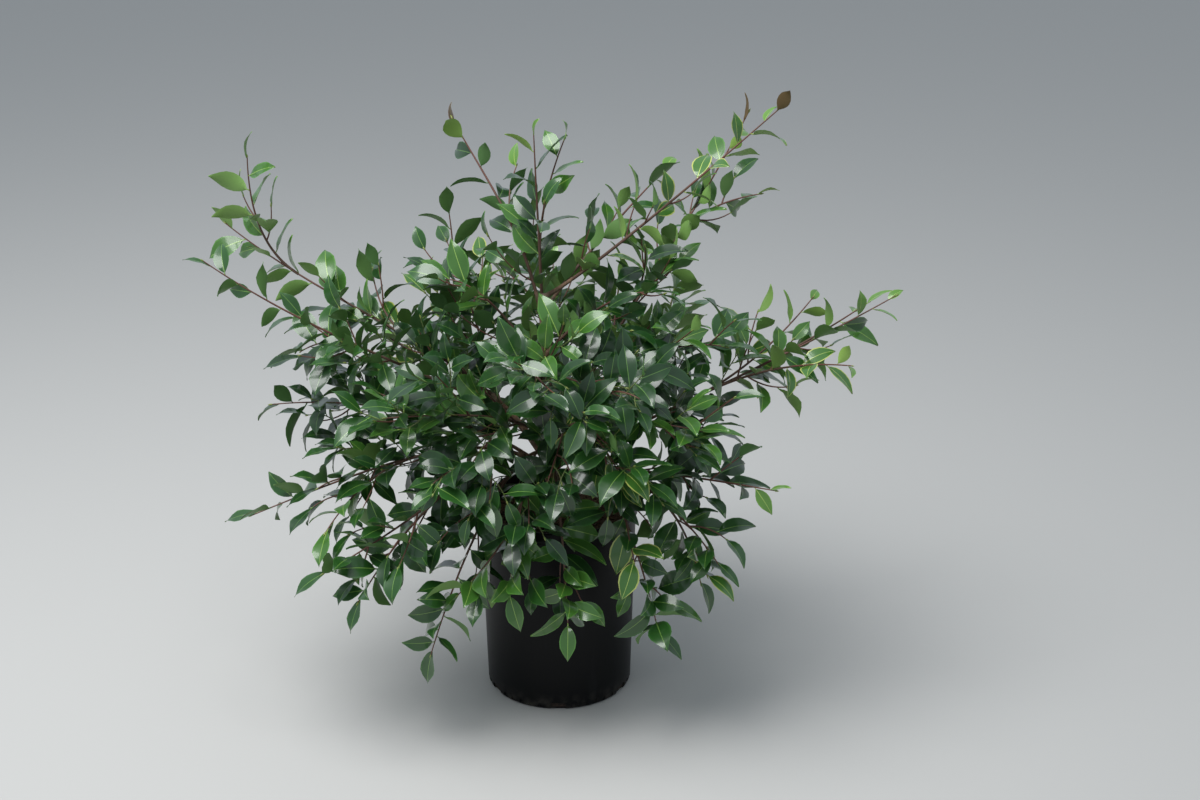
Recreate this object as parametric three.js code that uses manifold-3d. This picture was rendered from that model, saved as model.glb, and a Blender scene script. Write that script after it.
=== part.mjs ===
// A camellia shrub in a black nursery pot, in millimetres, +Z up.
// The origin is the centre of the pot's flat underside. A bearing is counted in degrees
// anticlockwise from +X seen from above, so 0 is the right, 90 the back and 270 the front.
import * as THREE from "three";
import { mergeVertices } from "three/addons/utils/BufferGeometryUtils.js";
import Module from "manifold-3d";

const wasm = await Module();
wasm.setup();

// ---------------------------------------------------------------- driving dimensions

const GAP = 0.3; // clearance between neighbouring solids
const TINY_EDGE = 0.05; // edges that a join leaves shorter than this are closed up

const POT = {
  height: 322,
  rimRadius: 130, // outside of the rim band
  rimDepth: 16,
  rimProud: 3, // how far the band stands out from the wall
  rimEdge: 1, // chamfer round the top of the band
  baseRadius: 119,
  heel: 7, // chamfer under the wall
  wall: 3,
  floor: 5,
  sides: 30,
  drains: 6,
  drainWidth: 24,
  drainHeight: 13,
  drainDepth: 12, // of the cutter, half of it outside the wall
};

// The mix lies below the rim and falls towards the wall from a flat middle.
const SOIL = { below: 25, fall: 5, flat: 60 };

const TRUNK = {
  height: 96,
  flareRadius: 25,
  waistRadius: 14,
  topRadius: 11.5,
  waistAt: 0.3, // share of the height where the root flare has run out
  lean: 11,
  leanBearing: 185,
  bendAt: 0.45, // share of the height where it leaves the upright
  rings: [0.04, 0.1, 0.18, 0.3, 0.5, 0.7, 0.88, 1],
  crown: [0.55, 0.05, 0.07], // radius share of its last ring, and rise of that ring and the top
  lobes: 3, // root swellings round the foot
  lobe: 0.16, // share of the radius by which they swell
  sides: 8,
};

const BARK = { sides: 5, stepLength: 50, tipRadius: 2.9 };
// A limb's handles lie at these shares of the way out to its tip, a fork's at this share.
const HANDLE = { first: 0.16, second: 0.62, fork: 0.45 };
const TWIG = { sides: 3, forkRadius: 1.7, radius: 1.1, tipRadius: 0.9, stepLength: 70 };

// Leaves are larger than life and fewer, so that each stands for two or three.
const LEAF = { length: 94, width: 48, thick: 1.4, fold: 0.2, curl: 0.16, middle: 0.44 };
// Share of the length along, and of the half width across, round the blade from the root.
const LEAF_OUTLINE = [
  [0, 0],
  [LEAF.middle, 1],
  [1, 0],
  [LEAF.middle, -1],
];
// Leaves at the top are smaller than the ones below this height.
const HIGH_LEAF = { from: 560, over: 260, size: 0.76 };

// The dense middle of the crown, an ellipsoid centred left of the pot. Twigs shrink near its edge.
const HEART = { across: -50, height: 505, reach: 328, rise: 158, shrinkFrom: 0.9, shrinkOver: 0.7 };

const GROWTH = {
  goldenAngle: 137.5,
  twigEvery: 54,
  firstTwig: 120, // length at a leader's foot
  lastTwig: 66, // length where its twigs end
  outerTwig: 0.4, // size outside the heart
  twigPlace: 0.4, // how far a twig's place varies, as a share of a step
  twigTurn: 50, // how far its turn varies
  twigPlay: 0.4, // how far its length varies
  twigSpread: 52, // between a twig and its leader
  twigRise: 0.2, // share of its length that a twig turns up, or down on a hanging limb
  hangBelow: -0.15, // upward part of a leader's direction where its twigs turn down
  whipLeafEvery: 56, // along a leader
  hangingLeafEvery: 46, // along a leader that hangs
  leafEvery: 46, // along a twig
  crowding: 0.85, // below 1, leaves stand closer towards a shoot's tip
  hangingCrowding: 0.5,
  leafSpread: 56,
  hangingLeafSpread: 72,
  leafSag: 0.22, // how far a leaf hangs from a level shoot
  leafOutward: 0.7, // how far its upper face turns outwards where it hangs
  leafPlay: 0.2, // how far its length varies
  firstLeaf: 0.3, // share of a twig before its first leaf
  firstWhipLeaf: 0.12, // share of a leader before its first leaf
  lastLeaf: 0.97, // share of a shoot before its last leaf
  tipSpread: 26, // between that leaf and its shoot
  tipLeaf: 0.7, // size of that leaf
  turnPlay: 40, // how far a leaf turns from the middle of a twig's side, in all
  tries: 3, // sides tried before a leaf is skipped
  clearance: 0.8, // kept free round a leaf
  inside: [0.6, 1], // shares of a twig that must lie in its limb's space
  samples: 20, // points that mark out a leader's space
  twigSeed: 100, // step between one limb's random numbers and the next limb's
  leafSeed: 7100,
};

// Each limb's first handle lies over its foot, and its second over or under its tip.
// name, springs from, at this share of its bough, tip bearing, tip reach from the axis,
// tip height, rise of the first handle, drop of the second below the tip, bare length,
// foot radius, share of the rest that bears twigs
const LIMBS = [
  ["top", "trunk", 0.97, 224, 43, 940, 300, 190, 290, 6.5, 0.4],
  ["left_high", "trunk", 0.9, 167, 545, 752, 180, 150, 150, 5.5, 0.6],
  ["right_upper", "trunk", 0.93, 27, 340, 925, 150, 230, 120, 6.0, 0.7],
  ["right_reach", "trunk", 0.8, 1, 530, 668, 60, 125, 100, 5.2, 0.5],
  ["left_reach", "trunk", 0.62, 194, 490, 350, 130, -60, 80, 5.0, 0.7],
  ["front_left", "trunk", 0.72, 252, 232, 255, 110, -220, 50, 5.0, 0.8],
  ["front_right", "trunk", 0.6, 328, 390, 432, 55, 10, 95, 5.0, 0.7],
  ["back_left", "trunk", 0.7, 138, 400, 500, 90, -20, 70, 5.0, 0.8],
  ["back_right", "trunk", 0.66, 54, 400, 540, 90, 10, 70, 5.0, 0.8],
  ["back", "trunk", 0.82, 92, 380, 620, 140, 40, 90, 5.0, 0.8],
  ["right_high", "top", 0.97, 350, 342, 985, 30, 130, 60, 3.8, 0.5],
  ["back_high", "top", 0.88, 54, 305, 812, 40, 50, 50, 3.4, 0.5],
  ["top_left", "top", 0.8, 146, 195, 925, 150, 90, 60, 3.8, 0.4],
  ["crown_left", "top", 0.52, 182, 170, 700, 50, 0, 30, 3.4, 1],
  ["crown_right", "top", 0.62, 345, 150, 690, 40, 0, 30, 3.4, 1],
  ["front_crown", "top", 0.34, 262, 200, 600, 50, -20, 25, 3.6, 1],
  ["left_low", "left_high", 0.55, 187, 535, 748, 70, 150, 70, 4.2, 0.5],
  ["left_crown", "left_high", 0.9, 140, 236, 715, 60, 60, 50, 3.8, 1],
  ["right_shoulder", "right_upper", 0.85, 346, 270, 610, 60, -10, 40, 3.6, 1],
  ["left_middle", "left_reach", 0.5, 179, 455, 486, 70, -20, 60, 3.8, 0.7],
  ["left_droop", "left_reach", 0.85, 216, 374, 250, 30, -150, 50, 3.6, 0.8],
  ["right_droop", "front_right", 0.6, 322, 320, 300, 40, -110, 45, 3.6, 0.8],
  ["front_right_hang", "front_right", 0.6, 308, 262, 180, 80, -200, 50, 3.6, 0.8],
  ["front_hang", "front_left", 0.75, 275, 220, 205, 50, -220, 50, 3.6, 0.8],
  ["left_foot", "front_left", 0.85, 230, 300, 165, 60, -210, 50, 3.6, 0.6],
  ["back_low", "back", 0.4, 84, 370, 380, 30, -90, 55, 3.6, 1],
  ["front_left_mid", "trunk", 0.86, 236, 240, 455, 130, -60, 35, 4.2, 1],
  ["front_right_mid", "trunk", 0.84, 296, 225, 455, 130, -60, 35, 4.2, 1],
];

// Second leaders that fork off inside a mass: limb, share of its leader, tip bearing,
// reach and height.
const FORKS = [
  ["left_high", 0.72, 170, 490, 870],
  ["left_high", 0.3, 156, 330, 672],
  ["left_low", 0.42, 173, 415, 560],
  ["top", 0.2, 330, 18, 925],
  ["top_left", 0.3, 120, 127, 850],
  ["right_upper", 0.25, 344, 142, 764],
  ["right_upper", 0.55, 24, 355, 795],
  ["right_reach", 0.3, 12, 420, 640],
  ["right_reach", 0.5, 7, 500, 640],
  ["right_reach", 0.35, 341, 470, 612],
  ["left_reach", 0.35, 207, 395, 350],
  ["left_droop", 0.3, 212, 415, 300],
  ["front_left", 0.45, 235, 260, 260],
  ["right_droop", 0.4, 322, 285, 260],
  ["back", 0.35, 112, 320, 640],
  ["front_left_mid", 0.3, 212, 300, 530],
  ["front_right_mid", 0.3, 320, 290, 520],
  ["front_crown", 0.3, 300, 200, 570],
  ["front_right_mid", 0.15, 266, 180, 430],
];

const BARK_COLOUR = 0x6b4f3d;
const LEAF_COLOUR = 0x2c5233;

// ---------------------------------------------------------------- small helpers

/** A random number source that gives the same run for the same seed. */
function seeded(seed) {
  let state = seed >>> 0;
  return () => {
    state = (state + 0x6d2b79f5) >>> 0;
    let mixed = Math.imul(state ^ (state >>> 15), 1 | state);
    mixed = (mixed + Math.imul(mixed ^ (mixed >>> 7), 61 | mixed)) ^ mixed;
    return ((mixed ^ (mixed >>> 14)) >>> 0) / 4294967296;
  };
}

const { degToRad: radians, radToDeg: degrees, lerp, clamp } = THREE.MathUtils;

/** A factor about 1, anywhere within the play. */
function vary(play, random) {
  return 1 + play * (random() - 0.5);
}

const UP = new THREE.Vector3(0, 0, 1);

/** The point at a bearing, a distance from the axis and a height. */
function place(bearing, reach, height) {
  const angle = radians(bearing);
  return new THREE.Vector3(reach * Math.cos(angle), reach * Math.sin(angle), height);
}

/** A three.js geometry as a manifold-3d solid. */
function solidOf(geometry) {
  const bare = geometry.clone();
  bare.deleteAttribute("normal");
  bare.deleteAttribute("uv");
  const merged = mergeVertices(bare, 1e-4);
  return new wasm.Manifold(
    new wasm.Mesh({
      numProp: 3,
      vertProperties: merged.getAttribute("position").array,
      triVerts: new Uint32Array(merged.index.array),
    }),
  );
}

/** A manifold-3d solid as a three.js geometry. */
function geometryOf(solid) {
  const mesh = solid.getMesh();
  const geometry = new THREE.BufferGeometry();
  geometry.setAttribute("position", new THREE.BufferAttribute(mesh.vertProperties, 3));
  geometry.setIndex(new THREE.BufferAttribute(mesh.triVerts, 1));
  geometry.computeVertexNormals();
  return geometry;
}

/** All the solids joined into one, in pairs so that each join stays small. */
function joined(solids) {
  let round = solids;
  while (round.length > 1) {
    const next = [];
    for (let i = 0; i < round.length; i += 2) {
      next.push(i + 1 < round.length ? round[i].add(round[i + 1]) : round[i]);
    }
    round = next;
  }
  return round[0];
}

/** The biggest separate piece of a solid. */
function largest(solid) {
  const pieces = solid.decompose();
  return pieces.reduce((best, piece) => (piece.volume() > best.volume() ? piece : best));
}

/** Straight steps along the part of a curve between two shares of its length. */
class Steps extends THREE.Curve {
  constructor(curve, stepLength, from = 0, to = 1) {
    super();
    Object.assign(this, { curve, from, to });
    this.count = Math.max(1, Math.round((curve.getLength() * (to - from)) / stepLength));
    this.corners = [];
    for (let i = 0; i <= this.count; i++) {
      this.corners.push(curve.getPointAt(this.shareOfCurve(i / this.count)));
    }
    this.frames = this.computeFrenetFrames(this.count, false);
  }
  shareOfCurve(share) {
    return lerp(this.from, this.to, share);
  }
  stepAt(share) {
    return clamp(Math.floor(share * this.count), 0, this.count - 1);
  }
  getPoint(share, target = new THREE.Vector3()) {
    const step = this.stepAt(share);
    return target.lerpVectors(this.corners[step], this.corners[step + 1], share * this.count - step);
  }
  /** The curve's own direction, so that the ends of a bough and its leader lie face to face. */
  getTangent(share, target = new THREE.Vector3()) {
    return this.curve.getTangentAt(this.shareOfCurve(share), target);
  }
  /** The way straight out of the line's side at a corner, at a turn round it in degrees. */
  sideways(corner, turn) {
    const { normals, binormals } = this.frames;
    return normals[corner]
      .clone()
      .multiplyScalar(Math.sin(radians(turn)))
      .addScaledVector(binormals[corner], -Math.cos(radians(turn)));
  }
  /** The way of a branch at a share: turned round the line, and spread from it, in degrees. */
  branching(share, turn, spread) {
    const ahead = this.getTangentAt(share);
    const side = this.sideways(this.stepAt(share), turn);
    side.addScaledVector(ahead, -side.dot(ahead)).normalize();
    return ahead
      .multiplyScalar(Math.cos(radians(spread)))
      .addScaledVector(side, Math.sin(radians(spread)));
  }
}

/** A tapered bar of a few sides round a line of straight steps. */
function bar(line, footRadius, topRadius, sides) {
  const geometry = new THREE.CylinderGeometry(topRadius, footRadius, line.count, sides, line.count);
  const position = geometry.getAttribute("position");
  for (let i = 0; i < position.count; i++) {
    const step = Math.round(position.getY(i) + line.count / 2);
    const turn = degrees(Math.atan2(position.getX(i), position.getZ(i)));
    const radius = Math.hypot(position.getX(i), position.getZ(i));
    const spot = line.sideways(step, turn).multiplyScalar(radius).add(line.corners[step]);
    position.setXYZ(i, spot.x, spot.y, spot.z);
  }
  return geometry;
}

// ---------------------------------------------------------------- pot and soil

/** A lathe-turned solid, from [radius, height] pairs that close on the axis. */
function turned(profile, sides) {
  const points = profile.map(([radius, height]) => new THREE.Vector2(radius, height));
  const geometry = new THREE.LatheGeometry(points, sides);
  return geometry.rotateX(Math.PI / 2);
}

/** Radius of the pot's outside wall at a height. */
function wallRadius(height) {
  const top = POT.rimRadius - POT.rimProud;
  return lerp(POT.baseRadius, top, height / POT.height);
}

/** The blow-moulded pot: tapered wall, proud rim band, chamfered heel and drain slots. */
function makePot() {
  const bandFoot = POT.height - POT.rimDepth;
  const shell = solidOf(
    turned(
      [
        [0, 0],
        [POT.baseRadius - POT.heel, 0],
        [wallRadius(POT.heel), POT.heel],
        [wallRadius(bandFoot), bandFoot],
        [POT.rimRadius, bandFoot + POT.rimProud],
        [POT.rimRadius, POT.height - POT.rimEdge],
        [POT.rimRadius - POT.rimEdge, POT.height],
        [wallRadius(POT.height) - POT.wall, POT.height],
        [wallRadius(POT.floor) - POT.wall, POT.floor],
        [0, POT.floor],
      ],
      POT.sides,
    ),
  );
  const cutters = [];
  for (let i = 0; i < POT.drains; i++) {
    const slot = new THREE.BoxGeometry(POT.drainDepth, POT.drainWidth, 2 * POT.drainHeight);
    slot.translate(POT.baseRadius, 0, 0);
    slot.rotateZ(radians((360 * (i + 0.5)) / POT.drains));
    cutters.push(solidOf(slot));
  }
  return geometryOf(shell.subtract(joined(cutters)));
}

const soilTop = POT.height - SOIL.below;

/** The potting mix that fills the pot, clear of its wall. */
function makeSoil() {
  const edge = soilTop - SOIL.fall;
  const inside = (height) => wallRadius(height) - POT.wall - GAP;
  const foot = POT.floor + GAP;
  return turned(
    [
      [0, foot],
      [inside(foot), foot],
      [inside(edge), edge],
      [SOIL.flat, soilTop],
      [0, soilTop],
    ],
    POT.sides,
  );
}

// ---------------------------------------------------------------- trunk and limbs

const trunkFoot = new THREE.Vector3(0, 0, soilTop + GAP);
const trunkLean = TRUNK.height * Math.tan(radians(TRUNK.lean));
const trunkTop = place(TRUNK.leanBearing, trunkLean, TRUNK.height).add(trunkFoot);
const trunkLine = new THREE.QuadraticBezierCurve3(
  trunkFoot,
  new THREE.Vector3(0, 0, soilTop + TRUNK.height * TRUNK.bendAt),
  trunkTop,
);

/** Trunk radius at a share of its height: a flare that runs out at the waist, then a taper. */
function trunkRadius(share) {
  const flare = Math.max(0, 1 - share / TRUNK.waistAt) ** 2;
  const taper = lerp(TRUNK.waistRadius, TRUNK.topRadius, share);
  return taper + (TRUNK.flareRadius - TRUNK.waistRadius) * flare;
}

/** The trunk, from a flat cut on the soil to its rounded fork, swollen all over by extra. */
function makeTrunk(extra = 0) {
  const more = extra / TRUNK.height;
  const [shrink, shoulder, top] = TRUNK.crown;
  const profile = [-more, ...TRUNK.rings].map((share) => [trunkRadius(Math.max(0, share)) + extra, share]);
  profile.push([TRUNK.topRadius * shrink + extra, 1 + shoulder + more]);
  profile.push([0, 1 + top + more]);
  const geometry = turned([[0, -more], ...profile], TRUNK.sides);
  const position = geometry.getAttribute("position");
  for (let i = 0; i < position.count; i++) {
    const share = position.getZ(i);
    const inside = clamp(share, 0, 1);
    const spot = trunkLine.getPoint(inside);
    const x = position.getX(i);
    const y = position.getY(i);
    const swell = 1 + TRUNK.lobe * (1 - inside) ** 4 * Math.cos(TRUNK.lobes * Math.atan2(y, x));
    const z = spot.z + (share - inside) * TRUNK.height;
    position.setXYZ(i, spot.x + x * swell, spot.y + y * swell, z);
  }
  return geometry;
}

/** Every limb by name, with its curve worked out from the row that names it. */
function makeLimbs() {
  const limbs = new Map();
  for (const row of LIMBS) {
    const [name, from, at, bearing, reach, height, rise, drop, bareLength, radius, twiggy] = row;
    const foot = (from === "trunk" ? trunkLine : limbs.get(from).bough).getPointAt(at);
    const tip = place(bearing, reach, height);
    const out = tip.clone().sub(foot).setZ(0);
    const first = foot.clone().addScaledVector(out, HANDLE.first).addScaledVector(UP, rise);
    const second = foot.clone().addScaledVector(out, HANDLE.second).setZ(height - drop);
    const curve = new THREE.CubicBezierCurve3(foot, first, second, tip);
    const length = curve.getLength();
    const bough = new Steps(curve, BARK.stepLength, 0, bareLength / length);
    const leader = new Steps(curve, TWIG.stepLength, (bareLength + GAP) / length);
    limbs.set(name, { name, bough, radius, twiggy, leaders: [leader] });
  }
  for (const [name, at, bearing, reach, height] of FORKS) {
    const limb = limbs.get(name);
    const foot = limb.leaders[0].getPointAt(at);
    const tip = place(bearing, reach, height);
    const handle = limb.leaders[0].getTangentAt(at).multiplyScalar(foot.distanceTo(tip) * HANDLE.fork);
    const curve = new THREE.QuadraticBezierCurve3(foot, handle.add(foot), tip);
    limb.leaders.push(new Steps(curve, TWIG.stepLength));
  }
  return limbs;
}

/** A bough: the bare stretch of a limb, swollen all over by extra. */
function makeBough(limb, extra = 0) {
  return bar(limb.bough, limb.radius + extra, BARK.tipRadius + extra, BARK.sides);
}

// ---------------------------------------------------------------- leaves and twigs

/** A folded, drooping blade, swollen all over by extra. along and face are unit vectors. */
function leafBlade(root, along, face, size, extra = 0) {
  const length = LEAF.length * size + extra;
  const half = (LEAF.width * size) / 2 + extra;
  const across = along.clone().cross(face);
  const geometry = new THREE.SphereGeometry(1, LEAF_OUTLINE.length, 2);
  const position = geometry.getAttribute("position");
  for (let i = 0; i < position.count; i++) {
    const pole = Math.round(position.getY(i));
    const turn = i % (LEAF_OUTLINE.length + 1) % LEAF_OUTLINE.length;
    const [far, wide] = pole ? [LEAF.middle, 0] : LEAF_OUTLINE[turn];
    const lift = LEAF.fold * Math.abs(wide) * half - LEAF.curl * length * far ** 2;
    const spot = root
      .clone()
      .addScaledVector(along, far * length)
      .addScaledVector(across, wide * half)
      .addScaledVector(face, lift + pole * (LEAF.thick / 2 + extra / 2));
    position.setXYZ(i, spot.x, spot.y, spot.z);
  }
  return geometry;
}

/** True if two bounding boxes meet. */
function boxesMeet(a, b) {
  return [0, 1, 2].every((k) => a.min[k] <= b.max[k] && b.min[k] <= a.max[k]);
}

/** Solids that nothing new may touch, each with its owner and bounding box. */
class Taken {
  list = [];
  add(solid, owner) {
    this.list.push({ solid, owner, box: solid.boundingBox() });
  }
  /** True if the solid meets anything here but the one that it grows from. */
  meets(solid, owner) {
    const box = solid.boundingBox();
    const near = this.list.filter((other) => other.owner !== owner && boxesMeet(box, other.box));
    return near.some((other) => !solid.intersect(other.solid).isEmpty());
  }
}

/** The space of each limb: the points nearer to its leaders than to any other limb's. */
class Spaces {
  constructor(limbs) {
    this.samples = new Map();
    for (const limb of limbs) {
      const points = limb.leaders.flatMap((leader) => leader.getSpacedPoints(GROWTH.samples));
      this.samples.set(limb, points);
    }
  }
  distance(limb, point) {
    return Math.min(...this.samples.get(limb).map((sample) => sample.distanceTo(point)));
  }
  holds(limb, point) {
    const own = this.distance(limb, point);
    return [...this.samples.keys()].every((other) => this.distance(other, point) >= own);
  }
}

/** How far out a spot lies: 0 in the middle of the heart and 1 at its edge. */
function fromHeart(spot) {
  const level = Math.hypot(spot.x - HEART.across, spot.y) / HEART.reach;
  return Math.hypot(level, (spot.z - HEART.height) / HEART.rise);
}

/** A twig's length: shorter towards its leader's tip and outside the heart. */
function twigLength(foot, along, random) {
  const size = lerp(GROWTH.firstTwig, GROWTH.lastTwig, along);
  const outer = clamp((fromHeart(foot) - HEART.shrinkFrom) / HEART.shrinkOver, 0, 1);
  return size * lerp(1, GROWTH.outerTwig, outer) * vary(GROWTH.twigPlay, random);
}

/** Twigs that leave a leader at even steps, turning by the golden angle. */
function twigsOf(leader, twiggy, random) {
  const count = Math.round((leader.getLength() * twiggy) / GROWTH.twigEvery);
  const twigs = [];
  for (let k = 0; k < count; k++) {
    const along = (k + 0.5 + GROWTH.twigPlace * (random() - 0.5)) / count;
    const share = along * twiggy;
    const turn = k * GROWTH.goldenAngle + GROWTH.twigTurn * random();
    const foot = leader.getPointAt(share);
    const length = twigLength(foot, along, random);
    const axis = leader.getTangentAt(share);
    const way = leader.branching(share, turn, GROWTH.twigSpread);
    const bend = foot.clone().addScaledVector(way, length / 2);
    const tip = bend.clone().addScaledVector(way.add(axis).normalize(), length / 2);
    tip.z += length * GROWTH.twigRise * Math.sign(axis.z - GROWTH.hangBelow);
    const curve = new THREE.QuadraticBezierCurve3(foot, bend, tip);
    twigs.push(new Steps(curve, TWIG.stepLength));
  }
  return twigs;
}

/** The share of a shoot before its first leaf, the number of steps to its last, and their crowding. */
function leafRun(shoot) {
  const hangs = clamp(-shoot.line.getTangentAt(1).z, 0, 1);
  const whipStep = lerp(GROWTH.whipLeafEvery, GROWTH.hangingLeafEvery, hangs);
  const start = shoot.leads ? GROWTH.firstWhipLeaf : GROWTH.firstLeaf;
  const length = shoot.line.getLength() * (GROWTH.lastLeaf - start);
  const count = Math.max(1, Math.round(length / (shoot.leads ? whipStep : GROWTH.leafEvery)));
  return { start, count, crowding: lerp(GROWTH.crowding, GROWTH.hangingCrowding, hangs) };
}

/** A leaf's size, which is less at the top of the plant and at a shoot's tip. */
function leafSize(spot, last, random) {
  const high = clamp((spot.z - HIGH_LEAF.from) / HIGH_LEAF.over, 0, 1);
  return (last ? GROWTH.tipLeaf : 1) * lerp(1, HIGH_LEAF.size, high) * vary(GROWTH.leafPlay, random);
}

/** Where a shoot's leaves sit: along it, each on a side of it, and one at its tip. */
function leafSites(shoot, random) {
  const { start, count, crowding } = leafRun(shoot);
  const first = 360 * random();
  const side = 360 / TWIG.sides;
  const sites = [];
  for (let k = 0; k <= count; k++) {
    const share = lerp(start, GROWTH.lastLeaf, (k / count) ** crowding);
    const nearest = Math.round((first + k * GROWTH.goldenAngle) / side);
    const turn = (nearest + 0.5) * side + GROWTH.turnPlay * (random() - 0.5);
    const size = leafSize(shoot.line.getPointAt(share), k === count, random);
    sites.push({ shoot, share, turn, size });
  }
  return sites;
}

/** A leaf's upper face looks to the sky, and outwards where the leaf hangs. */
function leafFace(along, root) {
  const outward = new THREE.Vector3(root.x, root.y, 0).normalize();
  const wanted = UP.clone().addScaledVector(outward, GROWTH.leafOutward);
  return wanted.addScaledVector(along, -wanted.dot(along)).normalize();
}

/** The angle between a leaf and its shoot: small at the tip and wide where the shoot hangs. */
function leafSpread(share, climb) {
  const wide = lerp(GROWTH.leafSpread, GROWTH.hangingLeafSpread, clamp(-climb, 0, 1));
  return share < GROWTH.lastLeaf ? wide : GROWTH.tipSpread;
}

/** A leaf for a site, or nothing if every turn tried would touch or leave the space. */
function growLeaf(limb, site, taken, spaces) {
  const { shoot, share, turn, size } = site;
  const root = shoot.line.getPointAt(share);
  const climb = shoot.line.getTangentAt(share).z;
  const spread = leafSpread(share, climb);
  for (let attempt = 0; attempt < GROWTH.tries; attempt++) {
    const along = shoot.line.branching(share, turn + (attempt * 360) / TWIG.sides, spread);
    along.z -= GROWTH.leafSag * (1 - Math.abs(climb));
    along.normalize();
    const tip = root.clone().addScaledVector(along, LEAF.length * size);
    if (!spaces.holds(limb, tip)) continue;
    const face = leafFace(along, root);
    const guard = solidOf(leafBlade(root, along, face, size, GROWTH.clearance));
    if (taken.meets(guard, shoot)) continue;
    const leaf = solidOf(leafBlade(root, along, face, size));
    taken.add(leaf, limb);
    limb.solids.push(leaf);
    return 1;
  }
  return 0;
}

/** Adds a shoot, as a solid round a line, to a limb. */
function addShoot(limb, line, radius, leads, taken) {
  const solid = solidOf(bar(line, radius, TWIG.tipRadius, TWIG.sides));
  const shoot = { line, leads };
  taken.add(solid, shoot);
  limb.solids.push(solid);
  limb.shoots.push(shoot);
  return shoot;
}

/** Grows every limb's leaders, then its twigs, then its leaves, each limb in turn. */
function makeFoliage(limbs, taken) {
  const spaces = new Spaces(limbs);
  for (const limb of limbs) {
    limb.solids = [];
    limb.shoots = [];
    limb.leaders.forEach((line, i) => {
      addShoot(limb, line, i ? TWIG.forkRadius : BARK.tipRadius, true, taken);
    });
  }
  limbs.forEach((limb, index) => {
    [...limb.shoots].forEach((leader, i) => {
      for (const line of twigsOf(leader.line, limb.twiggy, seeded(GROWTH.twigSeed * index + i + 1))) {
        const solid = solidOf(bar(line, TWIG.radius, TWIG.tipRadius, TWIG.sides));
        const inside = GROWTH.inside.every((share) => spaces.holds(limb, line.getPoint(share)));
        if (inside && !taken.meets(solid, leader)) addShoot(limb, line, TWIG.radius, false, taken);
      }
    });
  });
  const sites = limbs.map((limb, index) =>
    limb.shoots.flatMap((shoot, i) => leafSites(shoot, seeded(GROWTH.leafSeed * (index + 1) + i))),
  );
  let leaves = 0;
  for (let k = 0; sites.some((list) => k < list.length); k++) {
    limbs.forEach((limb, index) => {
      if (k < sites[index].length) leaves += growLeaf(limb, sites[index][k], taken, spaces);
    });
  }
  console.log(leaves, "leaves on", limbs.flatMap((limb) => limb.shoots).length, "shoots");
}

// ---------------------------------------------------------------- assembly

const shrub = new THREE.Group();

/** Adds one named sub-part to the shrub. */
function addNode(name, geometry, colour, roughness) {
  const material = new THREE.MeshStandardMaterial({ color: colour, roughness, metalness: 0 });
  const mesh = new THREE.Mesh(geometry, material);
  mesh.name = name;
  shrub.add(mesh);
}

addNode("pot", makePot(), 0x17181b, 0.5);
addNode("potting_mix", makeSoil(), 0x3a2c22, 0.95);
addNode("trunk", makeTrunk(), BARK_COLOUR, 0.85);

const limbs = [...makeLimbs().values()];
const taken = new Taken();
taken.add(solidOf(makePot()), "pot");
taken.add(solidOf(makeSoil()), "soil");
taken.add(solidOf(makeTrunk(GAP)), "trunk");
for (const limb of limbs) {
  const inTheWay = joined(taken.list.map((other) => other.solid));
  const bough = largest(solidOf(makeBough(limb)).subtract(inTheWay));
  taken.add(solidOf(makeBough(limb, GAP)), "bough");
  addNode(`bough_${limb.name}`, geometryOf(bough), BARK_COLOUR, 0.85);
}
makeFoliage(limbs, taken);
for (const limb of limbs) {
  const mass = joined(limb.solids).simplify(TINY_EDGE);
  addNode(`leaves_${limb.name}`, geometryOf(mass), LEAF_COLOUR, 0.4);
}

export default shrub;
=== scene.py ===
"""A camellia shrub in a black nursery pot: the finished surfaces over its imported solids.

Lengths are in millimetres and angles in degrees until a mesh is made, and +Z is up. A bearing is
counted anticlockwise from +X seen from above, so 0 is the right, 90 the back and 270 the front.
"""

import logging
import math
from collections.abc import Iterator, Sequence
from dataclasses import dataclass, field
from enum import Enum
from typing import NamedTuple

import bpy
import numpy as np
from mathutils import Matrix, Quaternion, Vector, noise
from mathutils.bvhtree import BVHTree


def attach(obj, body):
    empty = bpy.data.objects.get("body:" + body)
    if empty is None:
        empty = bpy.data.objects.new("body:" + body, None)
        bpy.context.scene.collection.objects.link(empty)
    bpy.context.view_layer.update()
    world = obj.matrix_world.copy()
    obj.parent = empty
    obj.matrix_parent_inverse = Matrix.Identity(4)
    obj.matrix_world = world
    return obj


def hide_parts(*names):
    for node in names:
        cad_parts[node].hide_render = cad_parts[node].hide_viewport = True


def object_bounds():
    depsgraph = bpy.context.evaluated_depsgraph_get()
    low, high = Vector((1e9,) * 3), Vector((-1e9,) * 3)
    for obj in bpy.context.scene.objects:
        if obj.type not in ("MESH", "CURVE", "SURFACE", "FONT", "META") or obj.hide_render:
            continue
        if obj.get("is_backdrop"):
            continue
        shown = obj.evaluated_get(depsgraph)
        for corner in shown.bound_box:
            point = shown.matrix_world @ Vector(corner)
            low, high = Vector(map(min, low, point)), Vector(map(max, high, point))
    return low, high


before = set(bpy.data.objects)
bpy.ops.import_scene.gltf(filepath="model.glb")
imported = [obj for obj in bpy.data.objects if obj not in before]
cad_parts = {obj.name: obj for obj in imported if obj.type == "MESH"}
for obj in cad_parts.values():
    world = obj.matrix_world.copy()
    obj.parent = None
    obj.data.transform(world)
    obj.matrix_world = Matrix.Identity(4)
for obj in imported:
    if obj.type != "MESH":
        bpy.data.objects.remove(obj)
cad_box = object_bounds()

log = logging.getLogger("camellia")

MM = 0.001
GAP = 0.3  # clearance between neighbouring solids
GOLDEN_ANGLE = 137.5
UP = Vector((0, 0, 1))

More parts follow.
